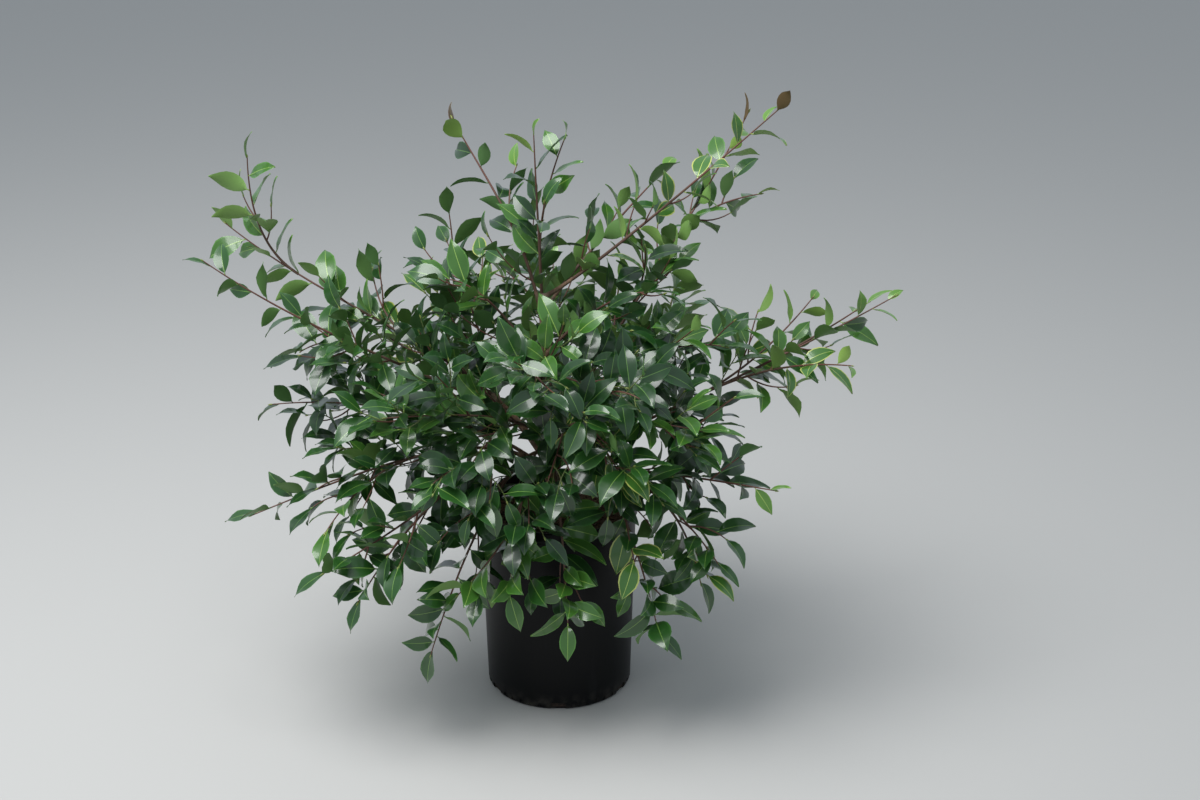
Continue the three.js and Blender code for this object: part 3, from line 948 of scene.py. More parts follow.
class Crown:
    """All stems, leaves and buds, grown on from the limbs."""

    SAMPLES = 20  # steps along a leader that mark out its limb's space
    LIMB_SEEDS = 100  # from one limb's twigs to the next limb's
    SHOOT_SEED = 5000  # of the first shoot's leaves
    BOUGH_SIDES = 5

    def __init__(self, skeleton: Skeleton, solids: dict[str, Guard]) -> None:
        """Grows the crown.

        Args:
            skeleton: The limbs.
            solids: Guards of the pot, the potting mix and the trunk.
        """
        self.limbs = list(skeleton.limbs.values())
        self.thicket = Thicket()
        self.shoots: list[Shoot] = []
        self.leaves: list[Growth] = []
        self.buds: list[Growth] = []
        self._sample_spaces()
        for name, guard in solids.items():
            self.thicket.add(guard, name)
        for limb in self.limbs:
            radius = limb.plan.radius
            guard = bar_guard(limb.bough, radius, HABIT.leader_radius, self.BOUGH_SIDES)
            self.thicket.add(guard, "bough")
        self._grow()

    def _sample_spaces(self) -> None:
        """Marks out each limb's space by points along its leaders."""
        spots = []
        owners = []
        for number, limb in enumerate(self.limbs):
            for leader in limb.leaders:
                spots += [leader.at(i / self.SAMPLES) for i in range(self.SAMPLES + 1)]
                owners += [number] * (self.SAMPLES + 1)
        self.samples = np.array(spots)
        self.sample_owners = np.array(owners)

    def _holds(self, number: int, point: Vector) -> bool:
        """Returns True if a point is nearer to this limb's leaders than to any other's."""
        distances = np.linalg.norm(self.samples - np.array(point), axis=1)
        return self.sample_owners[distances.argmin()] == number

    def _grow(self) -> None:
        """Grows leaders, then twigs, then spurs and leaves, a site on every shoot in turn."""
        leaders = {number: list(self._leaders(limb)) for number, limb in enumerate(self.limbs)}
        for number, shoots in leaders.items():
            for i, leader in enumerate(shoots):
                self._twigs(number, leader, Dice(self.LIMB_SEEDS * number + i + 1))
        bearing = list(self.shoots)
        rounds = [self._dress(shoot, Dice(self.SHOOT_SEED + i)) for i, shoot in enumerate(bearing)]
        while rounds:
            rounds = [steps for steps in rounds if next(steps, None) is not None]

    def _add(self, shoot: Shoot, guard: Guard) -> None:
        """Keeps a shoot."""
        self.shoots.append(shoot)
        self.thicket.add(guard, shoot)

    def _leaders(self, limb: Limb) -> Iterator[Shoot]:
        """Keeps a limb's leaders as shoots.

        Args:
            limb: The limb.

        Yields:
            Each leader.
        """
        for i, line in enumerate(limb.leaders):
            foot = HABIT.fork_radius if i else HABIT.leader_radius
            shoot = Shoot(line, Kind.LEADER, foot, HABIT.tip_radius, limb)
            self._add(shoot, shoot.guard())
            yield shoot

    def _side_line(self, parent: Line, share: float, turn: float, length: float, step: float) -> Line:
        """Gives the line of a twig or spur, which bends on towards its parent's own way.

        Args:
            parent: The line that it leaves.
            share: Where it leaves it.
            turn: Its side.
            length: Its length.
            step: Rough distance between its corners.

        Returns:
            The line.
        """
        axis = parent.tangent(share)
        way = parent.branching(share, turn, HABIT.twig_spread)
        foot = parent.at(share)
        bend = foot + way * (length / 2)
        tip = bend + (way + axis).normalized() * (length / 2)
        tip.z += length * HABIT.twig_rise * math.copysign(1, axis.z - HABIT.hanging_from)
        return Line(Curve(foot, bend, tip), step)

    def _twigs(self, number: int, leader: Shoot, dice: Dice) -> None:
        """Grows twigs off a leader at even steps, turning by the golden angle.

        Args:
            number: The limb's number.
            leader: The leader.
            dice: Its random numbers.
        """
        twiggy = leader.limb.plan.twiggy
        count = half_up(leader.line.length * twiggy / HABIT.twig_every)
        least, play = HABIT.twig_place
        for k in range(count):
            along = dice.draw(k + least, play) / count
            turn = dice.draw(k * GOLDEN_ANGLE, HABIT.twig_turn_play)
            size = between(HABIT.first_twig, HABIT.last_twig, along)
            far = HABIT.from_heart(leader.line.at(along * twiggy)) - HABIT.shrink_from
            size *= between(1, HABIT.outer_twig, clamp(far / HABIT.shrink_over))
            length = size * dice.draw(*HABIT.twig_size)
            line = self._side_line(leader.line, along * twiggy, turn, length, HABIT.twig_step)
            twig = Shoot(line, Kind.TWIG, HABIT.twig_radius, HABIT.tip_radius, leader.limb)
            guard = twig.guard()
            inside = all(self._holds(number, line.at(share)) for share in HABIT.twig_checks)
            if inside and not self.thicket.meets(guard, leader):
                self._add(twig, guard)

    def _dress(self, shoot: Shoot, dice: Dice) -> Iterator[bool]:
        """Grows leaves and spurs on a shoot, one site at each step.

        Args:
            shoot: A leader, twig or spur.
            dice: Its random numbers.

        Yields:
            True at each site.
        """
        hangs = clamp(-shoot.line.tangent(1).z)
        outer = clamp(HABIT.from_heart(shoot.line.at(1)) - 1)
        every = {
            Kind.LEADER: between(HABIT.whip_leaf_every, HABIT.hanging_leaf_every, hangs),
            Kind.TWIG: HABIT.leaf_every * between(1, HABIT.outer_gap, outer),
            Kind.SPUR: HABIT.spur_leaf_every,
        }[shoot.kind]
        if shoot.kind is not Kind.SPUR:
            shoot.tone = self._tone(shoot, dice)
        start = HABIT.first_whip_leaf if shoot.kind is Kind.LEADER else HABIT.first_leaf
        leafy = shoot.line.length * (HABIT.last_leaf - start)
        count = max(1, half_up(leafy / every))
        first = 360 * dice.roll()
        crowding = between(HABIT.crowding, HABIT.hanging_crowding, hangs)
        for k in range(count + 1):
            share = between(start, HABIT.last_leaf, (k / count) ** crowding)
            turn = first + k * GOLDEN_ANGLE + dice.swing(HABIT.leaf_turn_play)
            inner = HABIT.from_heart(shoot.line.at(share)) < 1
            if inner and k < count and shoot.kind is not Kind.SPUR:
                self._spur(shoot, share, turn, dice)
            else:
                self._leaf(shoot, share, turn, k == count, dice)
            yield True
        self._bud(shoot, dice)

    def _spur(self, parent: Shoot, share: float, turn: float, dice: Dice) -> None:
        """Grows a short spur with its leaves, if there is room for it.

        Args:
            parent: The stem that bears it.
            share: Where on the stem it sits.
            turn: Its side of the stem.
            dice: Random numbers.
        """
        length = HABIT.spur_length * dice.draw(*HABIT.spur_size)
        line = self._side_line(parent.line, share, turn, length, HABIT.spur_step)
        tip = HABIT.tip_radius * HABIT.spur_tip
        spur = Shoot(line, Kind.SPUR, HABIT.spur_radius, tip, parent.limb, parent.tone)
        guard = spur.guard()
        if self.thicket.meets(guard, parent):
            return
        self._add(spur, guard)
        for _ in self._dress(spur, dice):
            pass

    def _tone(self, shoot: Shoot, dice: Dice) -> Tone:
        """Deals a spray its colour: deep inside the crown, fresher at its edge.

        Args:
            shoot: The stem of the spray.
            dice: Its random numbers.

        Returns:
            The colour.
        """
        outer = clamp((HABIT.from_heart(shoot.line.at(1)) - HABIT.fresh_from) / HABIT.fresh_over)
        chances = {tone: between(*ends, outer) for tone, ends in TONE_CHANCES.items()}
        draw = dice.roll() * sum(chances.values())
        for tone, chance in chances.items():
            draw -= chance
            if draw <= 0:
                return tone
        return Tone.MIDDLE

    def _leaf(self, shoot: Shoot, share: float, turn: float, last: bool, dice: Dice) -> None:
        """Grows a leaf, if one of a few turns round the shoot leaves room for it.

        Args:
            shoot: The stem that bears it.
            share: Where on the stem it sits.
            turn: Its side of the stem.
            last: Whether it is the one at the tip.
            dice: Random numbers.
        """
        root = shoot.line.at(share)
        high = clamp((root.z - HABIT.high_from) / HABIT.high_over)
        size = between(1, HABIT.high_leaf, high) * (HABIT.tip_leaf if last else 1)
        tone = self._leaf_tone(shoot, share, last)
        size *= HABIT.new_leaf if tone in (Tone.YOUNG, Tone.BRONZE) else 1
        length = HABIT.leaf_length * size * dice.draw(*HABIT.leaf_size)
        climb = shoot.line.tangent(share).z
        level = 1 - abs(climb)
        wide = between(HABIT.leaf_spread, HABIT.hanging_leaf_spread, clamp(-climb))
        spread = (HABIT.tip_spread if last else wide) + dice.swing(HABIT.leaf_spread_play)
        outer = clamp(HABIT.from_heart(root) - 1)
        play = 0 if last else between(HABIT.leaf_roll_play, HABIT.outer_leaf_roll_play, outer)
        roll = math.radians(dice.swing(play))
        shape = int(dice.roll() * len(LEAF_SHAPES))
        for attempt in range(HABIT.tries):
            along = shoot.line.branching(share, turn + HABIT.next_try * attempt, spread)
            along.z -= HABIT.leaf_sag * level
            along.normalize()
            face = Quaternion(along, roll) @ self._face(along, root)
            guard = LEAF.guard(root, along, face, length)
            if not self.thicket.meets(guard, shoot):
                self.thicket.add(guard, None)
                self.leaves.append(Growth(root, turned(along, face), length, shape, tone))
                return

    @staticmethod
    def _face(along: Vector, root: Vector) -> Vector:
        """Turns a leaf's upper side to the sky, and outwards where it hangs.

        Args:
            along: The way that the leaf lies.
            root: Where it starts.

        Returns:
            The way of its upper side.
        """
        outward = Vector((root.x, root.y, 0)).normalized()
        wanted = UP + outward * HABIT.leaf_outward
        return (wanted - along * wanted.dot(along)).normalized()

    @staticmethod
    def _leaf_tone(shoot: Shoot, share: float, last: bool) -> Tone:
        """Gives a leaf its spray's colour, or a younger one at the end of a leader.

        Args:
            shoot: The stem that bears it.
            share: Where on the stem it sits.
            last: Whether it is the one at the tip.

        Returns:
            The colour.
        """
        name = shoot.limb.plan.name
        growing = name in GROWING_LIMBS and shoot.line.tangent(share).z > HABIT.young_climb
        if shoot.kind is not Kind.LEADER or share < HABIT.young_from or not growing:
            return shoot.tone
        tall = name in BRONZE_LIMBS and shoot.line is shoot.limb.leaders[0]
        return Tone.BRONZE if last and tall else Tone.YOUNG

    def _bud(self, shoot: Shoot, dice: Dice) -> None:
        """Ends a shoot in a pointed bud.

        Args:
            shoot: The shoot.
            dice: Its random numbers.
        """
        along = shoot.line.tangent(1)
        turn = turned(along, along.orthogonal().normalized())
        length = HABIT.bud_length * dice.draw(*HABIT.bud_size)
        self.buds.append(Growth(shoot.line.at(1), turn, length))


# -------------------------------- writing node trees


class Wire:
    """An output socket that takes part in sums and products."""

    def __init__(self, tree: "Tree", socket: bpy.types.NodeSocket) -> None:
        """Wraps a socket of a tree."""
        self.tree = tree
        self.socket = socket

    def _math(self, operation: str, *values: object) -> "Wire":
        """Returns the result of a Math node."""
        return self.tree.add("ShaderNodeMath", {"operation": operation}, dict(enumerate(values)))

    def __add__(self, other: object) -> "Wire":
        """Returns the sum."""
        return self._math("ADD", self, other)

    def __radd__(self, other: object) -> "Wire":
        """Returns the sum, with the other first."""
        return self._math("ADD", other, self)

    def __sub__(self, other: object) -> "Wire":
        """Returns the difference."""
        return self._math("SUBTRACT", self, other)

    def __rsub__(self, other: object) -> "Wire":
        """Returns the difference, with the other first."""
        return self._math("SUBTRACT", other, self)

    def __mul__(self, other: object) -> "Wire":
        """Returns the product."""
        return self._math("MULTIPLY", self, other)

    def __rmul__(self, other: object) -> "Wire":
        """Returns the product, with the other first."""
        return self._math("MULTIPLY", other, self)

    def out(self, name: str) -> "Wire":
        """Returns another output of the same node."""
        return Wire(self.tree, Tree.named(self.socket.node.outputs, name))


class Tree:
    """Writes the nodes of a shader or Geometry Nodes tree."""

    def __init__(self, tree: bpy.types.NodeTree) -> None:
        """Starts writing in a tree."""
        self.tree = tree

    @staticmethod
    def named(sockets: bpy.types.bpy_prop_collection, name: str) -> bpy.types.NodeSocket:
        """Returns the socket in use that has a name."""
        return next(s for s in sockets if s.enabled and s.name == name)

    def feed(self, node: bpy.types.Node, values: dict[str | int, object]) -> None:
        """Gives a node what its sockets take.

        Args:
            node: The node.
            values: A wire or a plain value for each socket, by its name or number.
        """
        for key, value in values.items():
            socket = node.inputs[key] if isinstance(key, int) else self.named(node.inputs, key)
            if isinstance(value, Wire):
                self.tree.links.new(value.socket, socket)
            else:
                socket.default_value = value

    def add(
        self,
        kind: str,
        settings: dict[str, object] | None = None,
        values: dict[str | int, object] | None = None,
    ) -> Wire:
        """Adds one node.

        Args:
            kind: The node's type.
            settings: Its own settings, set first.
            values: What its sockets take.

        Returns:
            The node's first output, or its first input where it has no output.
        """
        node = self.tree.nodes.new(kind)
        for key, value in (settings or {}).items():
            setattr(node, key, value)
        self.feed(node, values or {})
        sockets = [s for s in node.outputs if s.enabled] or list(node.inputs)
        return Wire(self, sockets[0])


class MaterialTree(Tree):
    """The tree of a new material with one shader."""

    def __init__(self, name: str) -> None:
        """Starts a material.

        Args:
            name: Its name.
        """
        self.material = bpy.data.materials.new(name)
        self.material.use_nodes = True
        super().__init__(self.material.node_tree)

    def spot(self) -> Wire:
        """Returns the place on the piece."""
        return self.add("ShaderNodeTexCoord").out("Object")

    def mix(self, share: Wire, first: Wire | Colour, second: Colour) -> Wire:
        """Returns a colour that goes from first to second with share."""
        values = {"Factor": share, "A": first, "B": second}
        return self.add("ShaderNodeMix", {"data_type": "RGBA"}, values).out("Result")

    def noise(self, spot: Wire, scale: float, detail: float, stretch: Sequence = ()) -> Wire:
        """Makes a noise over space.

        Args:
            spot: The place.
            scale: How many of its largest grains go into a metre, roughly.
            detail: How many times it is laid over itself at half the size.
            stretch: A factor for each way, which is below 1 where grains are drawn out.

        Returns:
            The noise, about a middle of one half.
        """
        if stretch:
            spot = self.add("ShaderNodeMapping", {}, {"Vector": spot, "Scale": stretch})
        return self.add("ShaderNodeTexNoise", {}, {"Vector": spot, "Scale": scale, "Detail": detail})

    def spread(self, value: Wire, low: float, high: float) -> Wire:
        """Returns value drawn out so that low becomes 0 and high becomes 1, and no more."""
        return self.add("ShaderNodeMapRange", {}, {"Value": value, "From Min": low, "From Max": high})

    def bump(self, height: Wire, strength: float, distance: float) -> Wire:
        """Returns the normal of a relief, whose distance is in metres."""
        values = {"Strength": strength, "Distance": distance, "Height": height}
        return self.add("ShaderNodeBump", {}, values)

    def shaded(self, values: dict[str, object]) -> bpy.types.Material:
        """Returns the material, once its shader has its values."""
        self.feed(self.tree.nodes["Principled BSDF"], values)
        return self.material


class GeometryTree(Tree):
    """A Geometry Nodes tree with named inputs."""

    def __init__(self, name: str, inputs: dict[str, str]) -> None:
        """Starts a tree.

        Args:
            name: Its name.
            inputs: The name and the socket type of each input, after the geometry itself.
        """
        super().__init__(bpy.data.node_groups.new(name, "GeometryNodeTree"))
        face = self.tree.interface
        face.new_socket("Geometry", in_out="OUTPUT", socket_type="NodeSocketGeometry")
        self.sockets = {
            key: face.new_socket(key, in_out="INPUT", socket_type=f"NodeSocket{kind}")
            for key, kind in {"Geometry": "Geometry", **inputs}.items()
        }
        self.inputs = self.add("NodeGroupInput")

    def input(self, name: str) -> Wire:
        """Returns one of the tree's inputs."""
        return self.inputs.out(name)

    def stored(self, name: str, kind: str) -> Wire:
        """Returns a named attribute of the geometry."""
        return self.add("GeometryNodeInputNamedAttribute", {"data_type": kind}, {"Name": name})

    def random(self, kind: str, least: object, most: object) -> Wire:
        """Returns random values from least to most, for the seed that the tree takes."""
        values = {"Min": least, "Max": most, "Seed": self.input("Seed")}
        return self.add("FunctionNodeRandomValue", {"data_type": kind}, values)

    def picked(self, number: Wire) -> dict[str, object]:
        """Chooses among the shapes that the tree takes.

        Args:
            number: The shape's number at each point.

        Returns:
            What set_on has to be told.
        """
        values = {"Collection": self.input("Shapes"), "Separate Children": True, "Reset Children": True}
        shapes = self.add("GeometryNodeCollectionInfo", {}, values)
        return {"Instance": shapes, "Pick Instance": True, "Instance Index": number}

    def set_on(self, points: Wire, values: dict[str, object]) -> Wire:
        """Sets a shape on each point.

        Args:
            points: The points.
            values: The shape, its turn and its size.

        Returns:
            The shapes, as real geometry.
        """
        placed = self.add("GeometryNodeInstanceOnPoints", {}, {"Points": points, **values})
        return self.add("GeometryNodeRealizeInstances", {}, {"Geometry": placed})

    def painted(self, geometry: Wire, finish: str, chosen: Wire | bool = True) -> Wire:
        """Returns a geometry whose chosen faces have the finish that an input takes."""
        values = {"Geometry": geometry, "Selection": chosen, "Material": self.input(finish)}
        return self.add("GeometryNodeSetMaterial", {}, values)

    def finish(self, geometry: Wire) -> "GeometryTree":
        """Returns the tree, once a geometry goes to its output."""
        self.add("NodeGroupOutput", {}, {"Geometry": geometry})
        return self

    def apply(self, mesh: bpy.types.Mesh, name: str, values: dict[str, object]) -> bpy.types.Object:
        """Runs the tree on a mesh.

        Args:
            mesh: What it starts from.
            name: The name of the piece that it makes.
            values: What the tree's inputs take.

        Returns:
            The result, as an object with a plain mesh at the origin.
        """
        source = object_of(name + ".source", mesh)
        modifier = source.modifiers.new("grow", "NODES")
        modifier.node_group = self.tree
        for key, value in values.items():
            modifier[self.sockets[key].identifier] = value
        return settled(source, name)


KEPT_ATTRIBUTES = {  # the rest of a mesh's attributes only serve to make it
    "position", "material_index", "sharp_edge", "sharp_face",
    ".edge_verts", ".corner_vert", ".corner_edge",
}


def settled(source: bpy.types.Object, name: str) -> bpy.types.Object:
    """Turns an object with live modifiers into one with a plain mesh.

    Args:
        source: The object, which is removed.
        name: The new object's name.

    Returns:
        The new object.
    """
    graph = bpy.context.evaluated_depsgraph_get()
    mesh = bpy.data.meshes.new_from_object(source.evaluated_get(graph), depsgraph=graph)
    bpy.data.objects.remove(source)
    for attribute in [a.name for a in mesh.attributes if a.name not in KEPT_ATTRIBUTES]:
        mesh.attributes.remove(mesh.attributes[attribute])
    mesh.name = name
    return object_of(name, mesh)


def leaf_tree() -> GeometryTree:
    """Writes the tree that sets shapes on points and gives each part of a leaf its finish.

    Returns:
        The tree.
    """
    inputs = {"Shapes": "Collection", **{part.input: "Material" for part in LeafPart}}
    tree = GeometryTree("leaves_on_points", inputs)
    turn = tree.stored("turn", "QUATERNION")
    size = tree.stored("length", "FLOAT")
    picked = tree.picked(tree.stored("shape", "INT"))
    leaves = tree.set_on(tree.input("Geometry"), {**picked, "Rotation": turn, "Scale": size})
    for part in LeafPart:
        settings = {"data_type": "INT", "operation": "EQUAL"}
        values = {"A": tree.stored("part", "INT"), "B": part.value}
        chosen = tree.add("FunctionNodeCompare", settings, values)
        leaves = tree.painted(leaves, part.input, chosen)
    return tree.finish(leaves)


def stem_tree() -> GeometryTree:
    """Writes the tree that turns lines with a stored radius into closed, tapered stems.

    Returns:
        The tree.
    """
    tree = GeometryTree("stems_on_lines", {"Sides": "Int", "Finish": "Material"})
    lines = tree.add("GeometryNodeMeshToCurve", {}, {"Mesh": tree.input("Geometry")})
    section = {"Resolution": tree.input("Sides"), "Radius": 1.0}
    profile = tree.add("GeometryNodeCurvePrimitiveCircle", {}, section)
    sweep = {"Curve": lines, "Profile Curve": profile, "Scale": tree.stored("radius", "FLOAT")}
    stems = tree.add("GeometryNodeCurveToMesh", {}, {**sweep, "Fill Caps": True})
    solid = tree.add("GeometryNodeRealizeInstances", {}, {"Geometry": stems})
    return tree.finish(tree.painted(solid, "Finish"))


def pot_tree() -> GeometryTree:
    """Writes the tree that cuts a ring of notches in a pot's heel and one of slots in its wall.

    Returns:
        The tree.
    """
    rings = ("Notch", "Drain")
    sizes = {"Count": "Int", "Size": "Vector", "Reach": "Float", "Start": "Vector"}
    inputs = {f"{name} {size}": kind for name in rings for size, kind in sizes.items()}
    tree = GeometryTree("pot_with_slots", {"Finish": "Material", **inputs})
    shell = tree.input("Geometry")
    for name in rings:
        count, size, reach, start = (tree.input(f"{name} {what}") for what in sizes)
        spots = tree.add("GeometryNodeMeshCircle", {}, {"Vertices": count, "Radius": reach})
        spots = tree.add("GeometryNodeTransform", {}, {"Geometry": spots, "Rotation": start})
        spot = tree.add("GeometryNodeInputPosition")
        outward = tree.add("FunctionNodeAlignRotationToVector", {"axis": "X"}, {"Vector": spot})
        cutter = tree.add("GeometryNodeMeshCube", {}, {"Size": size})
        cutters = tree.set_on(spots, {"Instance": cutter, "Rotation": outward})
        cut = {"Mesh 1": shell, "Mesh 2": cutters}
        shell = tree.add("GeometryNodeMeshBoolean", {"operation": "DIFFERENCE"}, cut)
    return tree.finish(tree.painted(shell, "Finish"))


def chip_tree(kinds: int) -> GeometryTree:
    """Writes the tree that strews chips over a surface.

    Args:
        kinds: Number of chip shapes.

    Returns:
        The tree.
    """
    sizes = {"Density": "Float", "Smallest": "Float", "Largest": "Float", "Tilt": "Vector"}
    inputs = {"Shapes": "Collection", **sizes, "Seed": "Int", "Finish": "Material"}
    tree = GeometryTree("strewn_chips", inputs)
    strewn = {name: tree.input(name) for name in ("Density", "Seed")}
    strewn["Mesh"] = tree.input("Geometry")
    points = tree.add("GeometryNodeDistributePointsOnFaces", {}, strewn)
    most = tree.input("Tilt")
    least = tree.add("ShaderNodeVectorMath", {"operation": "SCALE"}, {"Vector": most, "Scale": -1.0})
    tilt = tree.random("FLOAT_VECTOR", least, most)
    size = tree.random("FLOAT", tree.input("Smallest"), tree.input("Largest"))
    turn = tree.add("FunctionNodeEulerToRotation", {}, {"Euler": tilt})
    picked = tree.picked(tree.random("INT", 0, kinds - 1))
    chips = tree.set_on(points, {**picked, "Rotation": turn, "Scale": size})
    return tree.finish(tree.painted(chips, "Finish"))


def shelf(name: str, meshes: Sequence[bpy.types.Mesh]) -> bpy.types.Collection:
    """Keeps shapes for a tree to pick from, outside the scene.

    Args:
        name: The collection's name.
        meshes: The shapes' meshes.

    Returns:
        A collection that holds one object for each, in order.
    """
    made = bpy.data.collections.new(name)
    for number, mesh in enumerate(meshes):
        made.objects.link(bpy.data.objects.new(f"{name}_{number}", mesh))
    return made


# -------------------------------- finishes


@dataclass(frozen=True)
class PlainFinish:
    """One colour all over, for small things whose colour depends on the spray that they are in."""

    colour: str
    roughness: float = 0.4
    coat: float = 0.0
    coat_roughness: float = 0.09

    def material(self, name: str) -> bpy.types.Material:
        """Makes the finish.

        Args:
            name: The material's name.

        Returns:
            The material.
        """
        values = {
            "Base Color": paint(self.colour),
            "Roughness": self.roughness,
            "Coat Weight": self.coat,
            "Coat Roughness": self.coat_roughness,
        }
        return MaterialTree(name).shaded(values)


@dataclass(frozen=True)
class LeafFinish:
    """The colours of one kind of leaf, glossy above and dull below."""

    blade: str
    midrib: str
    underside: str
    margin: str
    roughness: float = 0.33
    coat: float = 0.5
    dull: float = 0.5  # roughness underneath

    def materials(self, tone: Tone) -> dict[str, bpy.types.Material]:
        """Makes a finish for each part of the leaf.

        Args:
            tone: The kind of leaf.

        Returns:
            The materials, by the tree's inputs that take them.
        """
        gloss = (self.roughness, self.coat)
        finishes = {
            LeafPart.BLADE: PlainFinish(self.blade, *gloss),
            LeafPart.MIDRIB: PlainFinish(self.midrib, *gloss),
            LeafPart.UNDERSIDE: PlainFinish(self.underside, self.dull),
            LeafPart.MARGIN: PlainFinish(self.margin, *gloss),
        }
        return {
            part.input: finish.material(f"{tone.value}_{part.name.lower()}")
            for part, finish in finishes.items()
        }


LEAF_FINISHES = {
    Tone.DEEP: LeafFinish("173a15", "577c39", "4d743c", "234a1e"),
    Tone.MIDDLE: LeafFinish("224c1a", "6f9443", "5c8243", "325e26"),
    Tone.FRESH: LeafFinish("3a6623", "89aa4f", "6f944b", "4b7b2f"),
    Tone.YOUNG: LeafFinish("588431", "a8be62", "83a54d", "6c943c"),
    Tone.EDGED: LeafFinish("3b6825", "aabd60", "74974c", "abb45e"),
    Tone.BRONZE: LeafFinish("46391d", "83713f", "574524", "5f3c24"),
}

STEM_FINISHES = {
    Wood.OLD: PlainFinish("5a4235", 0.7),
    Wood.YOUNG: PlainFinish("633f33", 0.55),
    Wood.GREEN: PlainFinish("5f6a38", 0.5),
}

BUD_FINISH = PlainFinish("7f8a45", 0.4, 0.2)


@dataclass(frozen=True)
class BarkFinish:
    """Thin tan bark with grey patches and fine fibres."""

    tan: str = "8a6c55"
    brown: str = "54402f"
    grey: str = "8e8473"
    fibre_scale: float = 160
    fibre_stretch: tuple[float, float, float] = (1, 1, 0.22)
    fibre_range: tuple[float, float] = (0.35, 0.65)
    patch_scale: float = 34
    patch_range: tuple[float, float] = (0.5, 0.66)
    patch_strength: float = 0.6
    roughness: float = 0.62
    fibre_roughness: float = 0.25
    relief: float = 0.0006  # metres

    def material(self) -> bpy.types.Material:
        """Makes the finish.

        Returns:
            The material.
        """
        tree = MaterialTree("bark")
        spot = tree.spot()
        fibres = tree.noise(spot, self.fibre_scale, detail=6, stretch=self.fibre_stretch)
        patches = tree.spread(tree.noise(spot, self.patch_scale, detail=3), *self.patch_range)
        wood = tree.mix(tree.spread(fibres, *self.fibre_range), paint(self.brown), paint(self.tan))
        values = {
            "Base Color": tree.mix(patches * self.patch_strength, wood, paint(self.grey)),
            "Roughness": self.roughness + self.fibre_roughness * fibres,
            "Normal": tree.bump(fibres, strength=0.5, distance=self.relief),
        }
        return tree.shaded(values)


@dataclass(frozen=True)
class PlasticFinish:
    """Satin black plastic, with faint scuffs and dust near the ground."""

    black: str = "070809"
    scuffed: str = "1b1c1f"
    dust: str = "5a564e"
    cloud_scale: float = 9
    scuff_scale: float = 60
    scuff_stretch: tuple[float, float, float] = (1, 1, 0.12)
    scuff_range: tuple[float, float] = (0.6, 0.75)
    scuff_strength: float = 0.35
    dust_scale: float = 75
    dust_range: tuple[float, float] = (0.42, 0.7)
    dust_strength: float = 0.45
    dust_height: float = 0.03  # metres
    roughness: float = 0.34
    cloud_roughness: float = 0.16
    dust_roughness: float = 0.2
    grain_scale: float = 900
    grain: float = 0.0002  # metres
    specular: float = 0.16

    def material(self) -> bpy.types.Material:
        """Makes the finish.

        Returns:
            The material.
        """
        tree = MaterialTree("pot_plastic")
        spot = tree.spot()
        height = tree.add("ShaderNodeSeparateXYZ", {}, {"Vector": spot}).out("Z")
        clouds = tree.noise(spot, self.cloud_scale, detail=5)
        grain = tree.noise(spot, self.grain_scale, detail=2)
        streaks = tree.noise(spot, self.scuff_scale, detail=8, stretch=self.scuff_stretch)
        scuffs = tree.spread(streaks, *self.scuff_range) * self.scuff_strength
        low = 1 - tree.spread(height, 0, self.dust_height)
        dusty = tree.spread(tree.noise(spot, self.dust_scale, detail=6), *self.dust_range) * low
        plastic = tree.mix(scuffs, paint(self.black), paint(self.scuffed))
        values = {
            "Base Color": tree.mix(dusty * self.dust_strength, plastic, paint(self.dust)),
            "Roughness": self.roughness + self.cloud_roughness * clouds + self.dust_roughness * dusty,
            "Normal": tree.bump(grain, strength=0.15, distance=self.grain),
            "Specular IOR Level": self.specular,
        }
        return tree.shaded(values)


@dataclass(frozen=True)
class CrumbFinish:
    """Dark, crumbly potting mix, or the bark chips in it."""

    name: str
    dark: str
    light: str
    grain: float
    grain_range: tuple[float, float] = (0.38, 0.66)
    roughness: float = 0.9
    relief: float = 0.001  # metres

    def material(self) -> bpy.types.Material:
        """Makes the finish.

        Returns:
            The material.
        """
        tree = MaterialTree(self.name)
        crumbs = tree.noise(tree.spot(), self.grain, detail=6)
        share = tree.spread(crumbs, *self.grain_range)
        values = {
            "Base Color": tree.mix(share, paint(self.dark), paint(self.light)),
            "Roughness": self.roughness,
            "Normal": tree.bump(crumbs, strength=0.8, distance=self.relief),
        }
        return tree.shaded(values)


MIX_FINISH = CrumbFinish("mix", "17110c", "3b2c20", 260)
CHIP_FINISH = CrumbFinish("bark_chip", "2a1c13", "6a4d38", 420)


# -------------------------------- foliage pieces


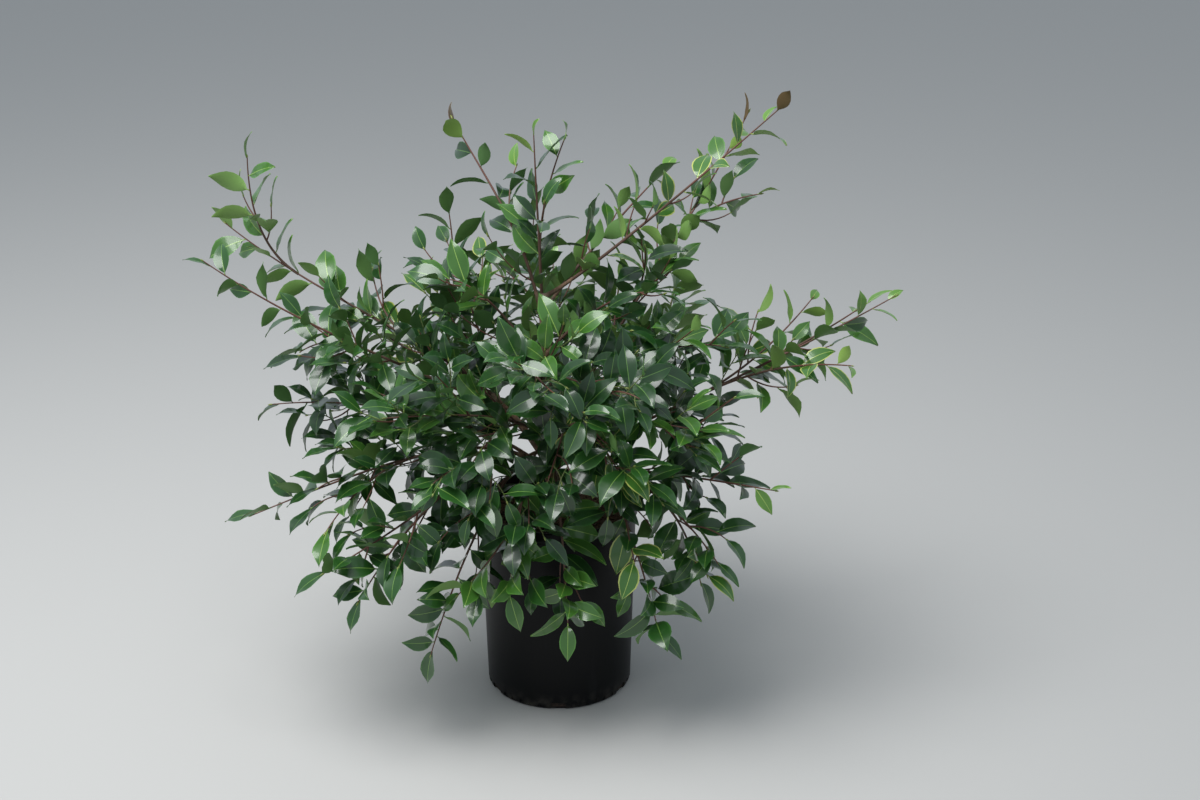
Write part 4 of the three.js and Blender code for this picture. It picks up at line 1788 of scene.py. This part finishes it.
@dataclass
class Foliage:
    """The leaves, stems and buds of a crown as pieces, each kind and colour apart."""

    crown: Crown
    stem_sides: int = 6
    stem_step: float = 9
    old_wood: float = 0.55  # share of a leader that is old wood
    sunk: float = 3  # how far a leader's old wood reaches back into its bough

    def leaves(self) -> list[bpy.types.Object]:
        """Makes the leaves.

        Returns:
            One piece for each tone.
        """
        tree = leaf_tree()
        meshes = [shape.mesh(f"leaf_shape_{i}") for i, shape in enumerate(LEAF_SHAPES)]
        shapes = shelf("leaf_shape", meshes)
        pieces = []
        for tone in Tone:
            leaves = [leaf for leaf in self.crown.leaves if leaf.tone is tone]
            if leaves:
                values = {"Shapes": shapes, **LEAF_FINISHES[tone].materials(tone)}
                pieces.append(tree.apply(self._points(leaves), f"{tone.value}_leaves", values))
        return pieces

    def buds(self) -> bpy.types.Object:
        """Makes the buds.

        Returns:
            All of them as one piece.
        """
        finish = BUD_FINISH.material("bud")
        shapes = shelf("bud_shape", [BudShape().mesh("bud_shape")])
        values = {"Shapes": shapes, **{part.input: finish for part in LeafPart}}
        return leaf_tree().apply(self._points(self.crown.buds), "buds", values)

    @staticmethod
    def _points(spots: Sequence[Growth]) -> bpy.types.Mesh:
        """Marks where leaves or buds go.

        Args:
            spots: Their places.

        Returns:
            Loose points that carry the turn, length and shape of what goes there.
        """
        mesh = mesh_of("spots", [spot.root for spot in spots], [])
        store(mesh, "turn", "QUATERNION", "POINT", [spot.turn for spot in spots])
        store(mesh, "length", "FLOAT", "POINT", [spot.length * MM for spot in spots])
        store(mesh, "shape", "INT", "POINT", [spot.shape for spot in spots])
        return mesh

    def stems(self) -> list[bpy.types.Object]:
        """Makes the stems.

        Returns:
            One piece for each age of wood.
        """
        tree = stem_tree()
        pieces = []
        for wood in Wood:
            finish = STEM_FINISHES[wood].material(f"{wood.value}_stem")
            values = {"Sides": self.stem_sides, "Finish": finish}
            pieces.append(tree.apply(self._lines(wood), f"{wood.value}_stems", values))
        return pieces

    def _stretches(self, wood: Wood) -> Iterator[tuple[Shoot, float, float]]:
        """Finds the wood of an age.

        Args:
            wood: The age.

        Yields:
            Each shoot that has such wood, and the shares between which it has it.
        """
        for shoot in self.crown.shoots:
            if shoot.kind is Kind.LEADER and wood is Wood.OLD:
                yield shoot, -self.sunk / shoot.line.length, self.old_wood
            elif shoot.kind is Kind.LEADER and wood is Wood.YOUNG:
                yield shoot, self.old_wood, 1
            elif (shoot.kind, wood) in ((Kind.TWIG, Wood.YOUNG), (Kind.SPUR, Wood.GREEN)):
                yield shoot, 0, 1

    def _lines(self, wood: Wood) -> bpy.types.Mesh:
        """Draws the middle lines of the stems of an age.

        Args:
            wood: The age.

        Returns:
            Edges whose points carry the stem's radius.
        """
        corners = []
        edges = []
        radii = []
        for shoot, start, end in self._stretches(wood):
            count = max(2, half_up(shoot.line.length * (end - start) / self.stem_step))
            for i in range(count + 1):
                share = between(start, end, i / count)
                if i:
                    edges.append((len(corners) - 1, len(corners)))
                corners.append(shoot.line.at(share))
                radii.append(between(shoot.foot, shoot.top, clamp(share)) * MM)
        mesh = mesh_of("lines", corners, [], edges)
        store(mesh, "radius", "FLOAT", "POINT", radii)
        return mesh


# -------------------------------- trunk and boughs


@dataclass
class Wooden:
    """The trunk and the bare boughs, grown together, with the bark's relief."""

    skeleton: Skeleton
    flare_radius: float = 25
    waist_radius: float = 14
    top_radius: float = 11.5
    waist_at: float = 0.3
    lobe: float = 0.16
    lobes: int = 3
    lobe_fade: int = 4  # power by which they run out upwards
    sunk: float = 6  # how far the foot goes into the potting mix
    trunk_steps: int = 24
    trunk_sides: int = 28
    tip_radius: float = HABIT.leader_radius
    collar: float = 1.8  # extra radius where a bough leaves its parent
    collar_length: float = 12
    bough_step: float = 5
    bough_sides: int = 14
    grain: float = 1.3  # size of the faces
    smoothing: int = 2
    relief: float = 0.35
    thin_relief: float = 0.4  # share of the relief that thin boughs have
    fibre_width: float = 2.6
    fibre_length: float = 13
    knot_size: float = 17
    knots: float = 0.7  # as against the fibres
    stout_centre: float = 1.6  # stoutness at the axis, of which no more than 1 counts
    stout_reach: float = 60  # distance over which it falls by 1

    CROWN = ((1.03, 0.85), (1.06, 0.5), (1.07, 0.1))  # the trunk's rounded top: height, radius

    def _trunk_radius(self, share: float) -> float:
        """Gives the trunk's radius: a flare that runs out at the waist, then a taper.

        Args:
            share: Share of its height.

        Returns:
            The radius there, without the lobes.
        """
        flare = max(0.0, 1 - share / self.waist_at) ** 2
        taper = between(self.waist_radius, self.top_radius, share)
        return taper + (self.flare_radius - self.waist_radius) * flare

    def _trunk(self) -> tuple[list[Vector], Faces]:
        """Shapes the trunk.

        Returns:
            Its corners and faces.
        """
        height = self.skeleton.height
        rings = [(-self.sunk / height, 1.0)]
        rings += [(i / self.trunk_steps, 1.0) for i in range(self.trunk_steps + 1)]
        rings += self.CROWN
        corners = []
        for share, part in rings:
            inside = clamp(share)
            middle = self.skeleton.trunk.at(inside) + UP * (share - inside) * height
            for k in range(self.trunk_sides):
                turn = 2 * math.pi * k / self.trunk_sides
                lobe = 1 + self.lobe * (1 - inside) ** self.lobe_fade * math.cos(self.lobes * turn)
                reach = self._trunk_radius(inside) * part * lobe
                corners.append(middle + Vector((reach * math.cos(turn), reach * math.sin(turn), 0)))
        return corners, tube_faces(len(rings), self.trunk_sides)

    def _bough(self, limb: Limb) -> tuple[list[Vector], Faces]:
        """Shapes a bough, with a collar at its foot.

        Args:
            limb: The bough's limb.

        Returns:
            Its corners and faces.
        """
        line = limb.bough
        count = half_up(line.length / self.bough_step)
        reaches = []
        for i in range(count + 1):
            collar = self.collar * math.exp(-i / count * line.length / self.collar_length)
            reaches.append(between(limb.plan.radius, self.tip_radius, i / count) + collar)
        corners = line.rings(reaches, self.bough_sides, way=-1)
        return corners, tube_faces(count + 1, self.bough_sides)

    def build(self) -> bpy.types.Object:
        """Grows the trunk and boughs together.

        Returns:
            The whole of it as one piece.
        """
        corners: list[Vector] = []
        faces: Faces = []
        parts = [self._trunk(), *(self._bough(limb) for limb in self.skeleton.limbs.values())]
        for spots, sides in parts:
            faces += [tuple(v + len(corners) for v in face) for face in sides]
            corners += spots
        source = object_of("wood.source", mesh_of("wood.source", corners, faces))
        remesh = source.modifiers.new("grow together", "REMESH")
        remesh.mode = "VOXEL"
        remesh.voxel_size = self.grain * MM
        remesh.use_smooth_shade = True
        smooth = source.modifiers.new("soften", "SMOOTH")
        smooth.iterations = self.smoothing
        piece = settled(source, "trunk_and_boughs")
        self._carve(piece.data)
        piece.data.materials.append(BarkFinish().material())
        return piece

    def _carve(self, mesh: bpy.types.Mesh) -> None:
        """Raises the bark's fibres and knots.

        Args:
            mesh: The smooth wood.
        """
        spots = np.zeros((len(mesh.vertices), 3), dtype=np.float32)
        normals = np.zeros_like(spots)
        mesh.vertices.foreach_get("co", spots.ravel())
        mesh.vertex_normals.foreach_get("vector", normals.ravel())
        depths = [self._depth(Vector(spot) / MM) * MM for spot in spots]
        spots += normals * np.array(depths, dtype=np.float32)[:, None]
        mesh.vertices.foreach_set("co", spots.ravel())
        mesh.update()

    def _depth(self, spot: Vector) -> float:
        """Gives the relief, which is finer on thin boughs than on the trunk.

        Args:
            spot: A place on the wood.

        Returns:
            How far the bark stands out there.
        """
        wide, long = self.fibre_width, self.fibre_length
        fibres = noise.noise(Vector((spot.x / wide, spot.y / wide, spot.z / long)))
        knots = noise.noise(spot / self.knot_size)
        stout = clamp(self.stout_centre - math.hypot(spot.x, spot.y) / self.stout_reach)
        share = self.thin_relief + (1 - self.thin_relief) * stout
        return self.relief * share * (fibres + self.knots * knots)


# -------------------------------- pot and potting mix


def arc(centre: tuple[float, float], radius: float, start: float, end: float, steps: int) -> list:
    """Returns points along an arc, from one angle to another, both in degrees."""
    angles = [math.radians(between(start, end, i / steps)) for i in range(steps + 1)]
    return [(centre[0] + radius * math.cos(a), centre[1] + radius * math.sin(a)) for a in angles]


def lathe(profile: Sequence[tuple[float, float]], sides: int) -> tuple[list, Faces]:
    """Turns a profile round the axis.

    Args:
        profile: Radius and height of each point, from the axis and back to it.
        sides: Number of faces round the axis.

    Returns:
        Corners and faces of the closed solid.
    """
    rings = profile[1:-1]
    corners = [corner for reach, height in rings for corner in ring(sides, reach, height)]
    faces = tube_faces(len(rings), sides)[2:]
    faces += [face[::-1] for face in fan(0, sides, len(corners))]
    faces += fan((len(rings) - 1) * sides, sides, len(corners) + 1)
    corners += [(0, 0, profile[0][1]), (0, 0, profile[-1][1])]
    return corners, faces


@dataclass
class Pot:
    """The blow-moulded pot, with a rolled rim band and a notched heel."""

    height: float = 322
    rim_radius: float = 130
    rim_depth: float = 16
    rim_proud: float = 3
    rim_tuck: float = 2  # height over which the wall turns out to the rim band
    lip: float = 2.2  # radius of the rim's two upper edges
    base_radius: float = 119
    heel: float = 7
    wall: float = 3
    floor: float = 5
    corner: float = 3  # chamfer between floor and wall, inside
    sides: int = 180
    drains: int = 6
    drain_width: float = 24
    drain_height: float = 13
    notches: int = 42
    notch_width: float = 8
    notch_height: float = 11
    notch_depth: float = 2.2
    outer_steps: int = 8
    inner_steps: int = 4
    sharp_from: float = 32

    def wall_radius(self, height: float) -> float:
        """Returns the radius of the wall's outside at a height."""
        return between(self.base_radius, self.rim_radius - self.rim_proud, height / self.height)

    def _profile(self) -> list[tuple[float, float]]:
        """Draws the pot's section.

        Returns:
            Its points, from the middle of its underside to that of its floor.
        """
        band = self.height - self.rim_depth
        tuck = band - self.rim_tuck
        lip = self.lip
        lip_height = self.height - lip
        inside = self.wall_radius(self.height) - self.wall
        outer = [band * i / self.outer_steps for i in range(1, self.outer_steps)]
        inner = [band * i / self.inner_steps for i in range(self.inner_steps - 1, 0, -1)]
        floor_radius = self.wall_radius(self.floor) - self.wall
        return [
            (0, 0),
            *arc((self.base_radius - self.heel, self.heel), self.heel, -90, 2, 6),
            *((self.wall_radius(z), z) for z in outer),
            (self.wall_radius(tuck), tuck),
            *arc((self.rim_radius - self.rim_proud, band + self.rim_proud), self.rim_proud, -60, 0, 4),
            *arc((self.rim_radius - lip, lip_height), lip, 0, 90, 5),
            *arc((inside + lip, lip_height), lip, 90, 180, 5),
            *((self.wall_radius(z) - self.wall, z) for z in inner),
            (floor_radius, self.floor + self.corner),
            (floor_radius - self.corner, self.floor),
            (0, self.floor),
        ]

    @staticmethod
    def _cuts(name: str, count: int, size: Sequence[float], reach: float, start: float = 0) -> dict:
        """Says what a ring of cuts is like.

        Args:
            name: Which ring.
            count: Number of cuts.
            size: Size of each, outwards, sideways and up.
            reach: Distance from the axis.
            start: Turn of the first one, in radians.

        Returns:
            What the tree's inputs take.
        """
        return {
            f"{name} Count": count,
            f"{name} Size": [side * MM for side in size],
            f"{name} Reach": reach * MM,
            f"{name} Start": (0, 0, start),
        }

    def build(self) -> bpy.types.Object:
        """Makes the pot.

        Returns:
            The piece.
        """
        shell = mesh_of("pot.source", *lathe(self._profile(), self.sides))
        # Each cutter stands half below the ground and goes well through what it cuts.
        notch = (4 * self.notch_depth, self.notch_width, 2 * self.notch_height)
        drain = (4 * self.wall, self.drain_width, 2 * self.drain_height)
        values = {
            "Finish": PlasticFinish().material(),
            **self._cuts("Notch", self.notches, notch, self.base_radius + self.notch_depth),
            **self._cuts("Drain", self.drains, drain, self.base_radius, math.pi / self.drains),
        }
        piece = pot_tree().apply(shell, "nursery_pot", values)
        piece.data.set_sharp_from_angle(angle=math.radians(self.sharp_from))
        return piece


@dataclass
class PottingMix:
    """The potting mix that fills the pot, with bark chips strewn over it."""

    pot: Pot
    below: float = 25  # the rim
    fall: float = 5  # towards the wall, from a flat middle
    flat: float = 60
    sides: int = 96
    rings: int = 34
    lumps: float = 2.4
    lump_size: float = 16
    lump_rise: float = 0.6  # share of the lumps' height by which the noise lifts the top
    lump_fall: float = 0.5  # and by which all of it is let down
    crumb_size: float = 6
    crumb_level: float = 50  # where its noise is read, apart from the lumps'
    crumbs: float = 0.6  # as against the lumps
    sharp_from: float = 60
    chip_density: float = 42000  # to the square metre
    chip_kinds: int = 4
    chip_half: tuple[float, float, float] = (5, 2.6, 1.1)  # length, width and thickness
    chip_play: tuple[float, float, float] = (4, 2.4, 0.8)
    smallest_chip: float = 0.45
    largest_chip: float = 1.15
    chip_tilt: float = 0.35  # radians
    chip_seed: int = 5
    chip_shape_seed: int = 900
    chip_sharp_from: float = 25
    bare_edge: float = 10  # strip along the wall without chips

    @property
    def top(self) -> float:
        """Height of the middle."""
        return self.pot.height - self.below

    def _surface(self, x: float, y: float) -> float:
        """Gives the height of the lumpy top.

        Args:
            x: Distance to the right of the axis.
            y: Distance behind it.

        Returns:
            The height there.
        """
        edge = self.pot.wall_radius(self.top) - self.pot.wall
        slope = clamp((math.hypot(x, y) - self.flat) / (edge - self.flat))
        lumps = noise.noise(Vector((x, y, 0)) / self.lump_size)
        crumbs = noise.noise(Vector((x, y, self.crumb_level)) / self.crumb_size)
        rough = self.lump_rise * (lumps + self.crumbs * crumbs)
        return self.top - self.fall * slope - self.lumps * (self.lump_fall - rough)

    def _top_face(self, clear: float = GAP) -> tuple[list, Faces]:
        """Shapes the top.

        Args:
            clear: Distance from the wall at which it starts.

        Returns:
            Its corners and faces, from there in to the middle.
        """
        edge = self.pot.wall_radius(self.top - self.fall) - self.pot.wall - clear
        corners = []
        for j in range(self.rings):
            flat = ring(self.sides, edge * (1 - j / self.rings))
            corners += [(x, y, self._surface(x, y)) for x, y, _ in flat]
        faces = tube_faces(self.rings, self.sides)[2:]
        faces += fan((self.rings - 1) * self.sides, self.sides, len(corners))
        corners.append((0, 0, self._surface(0, 0)))
        return corners, faces

    def build(self) -> bpy.types.Object:
        """Makes the potting mix.

        Returns:
            The piece.
        """
        corners, faces = self._top_face()
        foot = self.pot.floor + GAP
        reach = self.pot.wall_radius(foot) - self.pot.wall - GAP
        base = len(corners)
        corners += ring(self.sides, reach, foot)
        for k in range(self.sides):
            beside = (k + 1) % self.sides
            faces.append((base + k, base + beside, beside, k))
        faces.append(tuple(reversed(range(base, base + self.sides))))
        piece = object_of("mix_in_pot", mesh_of("mix_in_pot", corners, faces))
        piece.data.set_sharp_from_angle(angle=math.radians(self.sharp_from))
        piece.data.materials.append(MIX_FINISH.material())
        return piece

    def chips(self) -> bpy.types.Object:
        """Makes the bark chips.

        Returns:
            All of them as one piece.
        """
        values = {
            "Shapes": shelf("chip_shape", [self._chip(kind) for kind in range(self.chip_kinds)]),
            "Density": self.chip_density,
            "Smallest": self.smallest_chip,
            "Largest": self.largest_chip,
            "Tilt": (self.chip_tilt, self.chip_tilt, math.pi),
            "Seed": self.chip_seed,
            "Finish": CHIP_FINISH.material(),
        }
        top = mesh_of("top", *self._top_face(self.bare_edge))
        piece = chip_tree(self.chip_kinds).apply(top, "bark_chips", values)
        piece.data.set_sharp_from_angle(angle=math.radians(self.chip_sharp_from))
        return piece

    def _chip(self, kind: int) -> bpy.types.Mesh:
        """Shapes one chip: a flat, uneven block.

        Args:
            kind: Its number among the chips.

        Returns:
            Its mesh.
        """
        dice = Dice(self.chip_shape_seed + kind)
        long, wide, thick = self.chip_half
        corners = []
        for z in (-thick, thick):
            for x, y in ((-long, -wide), (long, -wide), (long, wide), (-long, wide)):
                plays = zip((x, y, z), self.chip_play)
                corners.append([side + dice.swing(play) for side, play in plays])
        return mesh_of(f"chip_shape_{kind}", corners, tube_faces(2, 4))


# -------------------------------- studio


@dataclass
class Studio:
    """A pale floor, a soft sky and the camera."""

    camera_spot: tuple[float, float, float] = (0.0682, -2.812, 1.610)  # metres, as all places here
    camera_dip: float = 21.6
    lens: float = 57
    floor_size: float = 30
    floor: str = "b9b8b5"
    floor_roughness: float = 0.9
    sky: str = "c9d3dd"
    sky_strength: float = 0.75
    lamp_spot: tuple[float, float, float] = (-1.0, -0.7, 3.3)
    lamp_aim: tuple[float, float, float] = (0, 0, 0.5)
    lamp_size: float = 2.6
    lamp_power: float = 128

    def build(self) -> None:
        """Makes all of it."""
        self._floor()
        self._sky()
        self._lamp()
        self._camera()

    def _camera(self) -> None:
        """Sets up the camera."""
        camera = bpy.data.objects.new("camera", bpy.data.cameras.new("camera"))
        camera.data.lens = self.lens
        camera.location = self.camera_spot
        camera.rotation_euler = (math.radians(90 - self.camera_dip), 0, 0)
        bpy.context.scene.collection.objects.link(camera)
        bpy.context.scene.camera = camera
        bpy.context.scene.view_settings.view_transform = "Standard"

    def _floor(self) -> None:
        """Lays the floor."""
        half = self.floor_size / 2 / MM
        corners = [(-half, -half, 0), (half, -half, 0), (half, half, 0), (-half, half, 0)]
        floor = object_of("floor", mesh_of("floor", corners, [(0, 1, 2, 3)]))
        floor.data.materials.append(PlainFinish(self.floor, self.floor_roughness).material("floor"))
        floor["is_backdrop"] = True

    def _sky(self) -> None:
        """Lights everything evenly."""
        world = bpy.data.worlds.new("sky")
        world.use_nodes = True
        glow = world.node_tree.nodes["Background"]
        glow.inputs["Color"].default_value = paint(self.sky)
        glow.inputs["Strength"].default_value = self.sky_strength
        bpy.context.scene.world = world

    def _lamp(self) -> None:
        """Hangs a wide lamp above and in front, to the left."""
        light = bpy.data.lights.new("lamp", "AREA")
        light.shape = "DISK"
        light.size = self.lamp_size
        light.energy = self.lamp_power
        lamp = bpy.data.objects.new("lamp", light)
        lamp.location = self.lamp_spot
        aim = Vector(self.lamp_aim) - lamp.location
        lamp.rotation_euler = aim.to_track_quat("-Z", "Y").to_euler()
        bpy.context.scene.collection.objects.link(lamp)


# -------------------------------- assembly


def node_guard(name: str) -> Guard:
    """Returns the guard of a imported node."""
    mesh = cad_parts[name].data
    return guard_of([v.co / MM for v in mesh.vertices], [tuple(p.vertices) for p in mesh.polygons])


def hand_over(piece: bpy.types.Object, slot: str, *nodes: str) -> None:
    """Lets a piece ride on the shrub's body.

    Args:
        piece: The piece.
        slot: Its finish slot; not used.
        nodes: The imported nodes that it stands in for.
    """
    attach(piece, "root")
    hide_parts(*nodes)
    log.info("%s: %d faces", piece.name, len(piece.data.polygons))


def nodes_named(start: str) -> list[str]:
    """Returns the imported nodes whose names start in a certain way."""
    return [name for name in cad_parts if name.startswith(start)]


def main() -> None:
    """Builds every piece, dresses it and hands it over."""
    logging.basicConfig(level=logging.INFO, format="%(message)s")
    pot = Pot()
    mix = PottingMix(pot)
    hand_over(pot.build(), "pot", "pot")
    hand_over(mix.build(), "potting_mix", "potting_mix")
    hand_over(mix.chips(), "potting_mix")

    skeleton = Skeleton(mix.top)
    hand_over(Wooden(skeleton).build(), "bark", "trunk", *nodes_named("bough_"))

    solids = {name: node_guard(name) for name in ("pot", "potting_mix", "trunk")}
    crown = Crown(skeleton, solids)
    log.info("%d leaves on %d shoots", len(crown.leaves), len(crown.shoots))
    foliage = Foliage(crown)
    for piece in foliage.stems():
        hand_over(piece, "bark")
    for piece in foliage.leaves():
        hand_over(piece, "foliage", *nodes_named("leaves_"))
    hand_over(foliage.buds(), "foliage")

    Studio().build()
    boxes = {"cad": cad_box, "dressed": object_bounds()}
    {name: [list(corner) for corner in box] for name, box in boxes.items()}


if __name__ == "__main__":
    main()
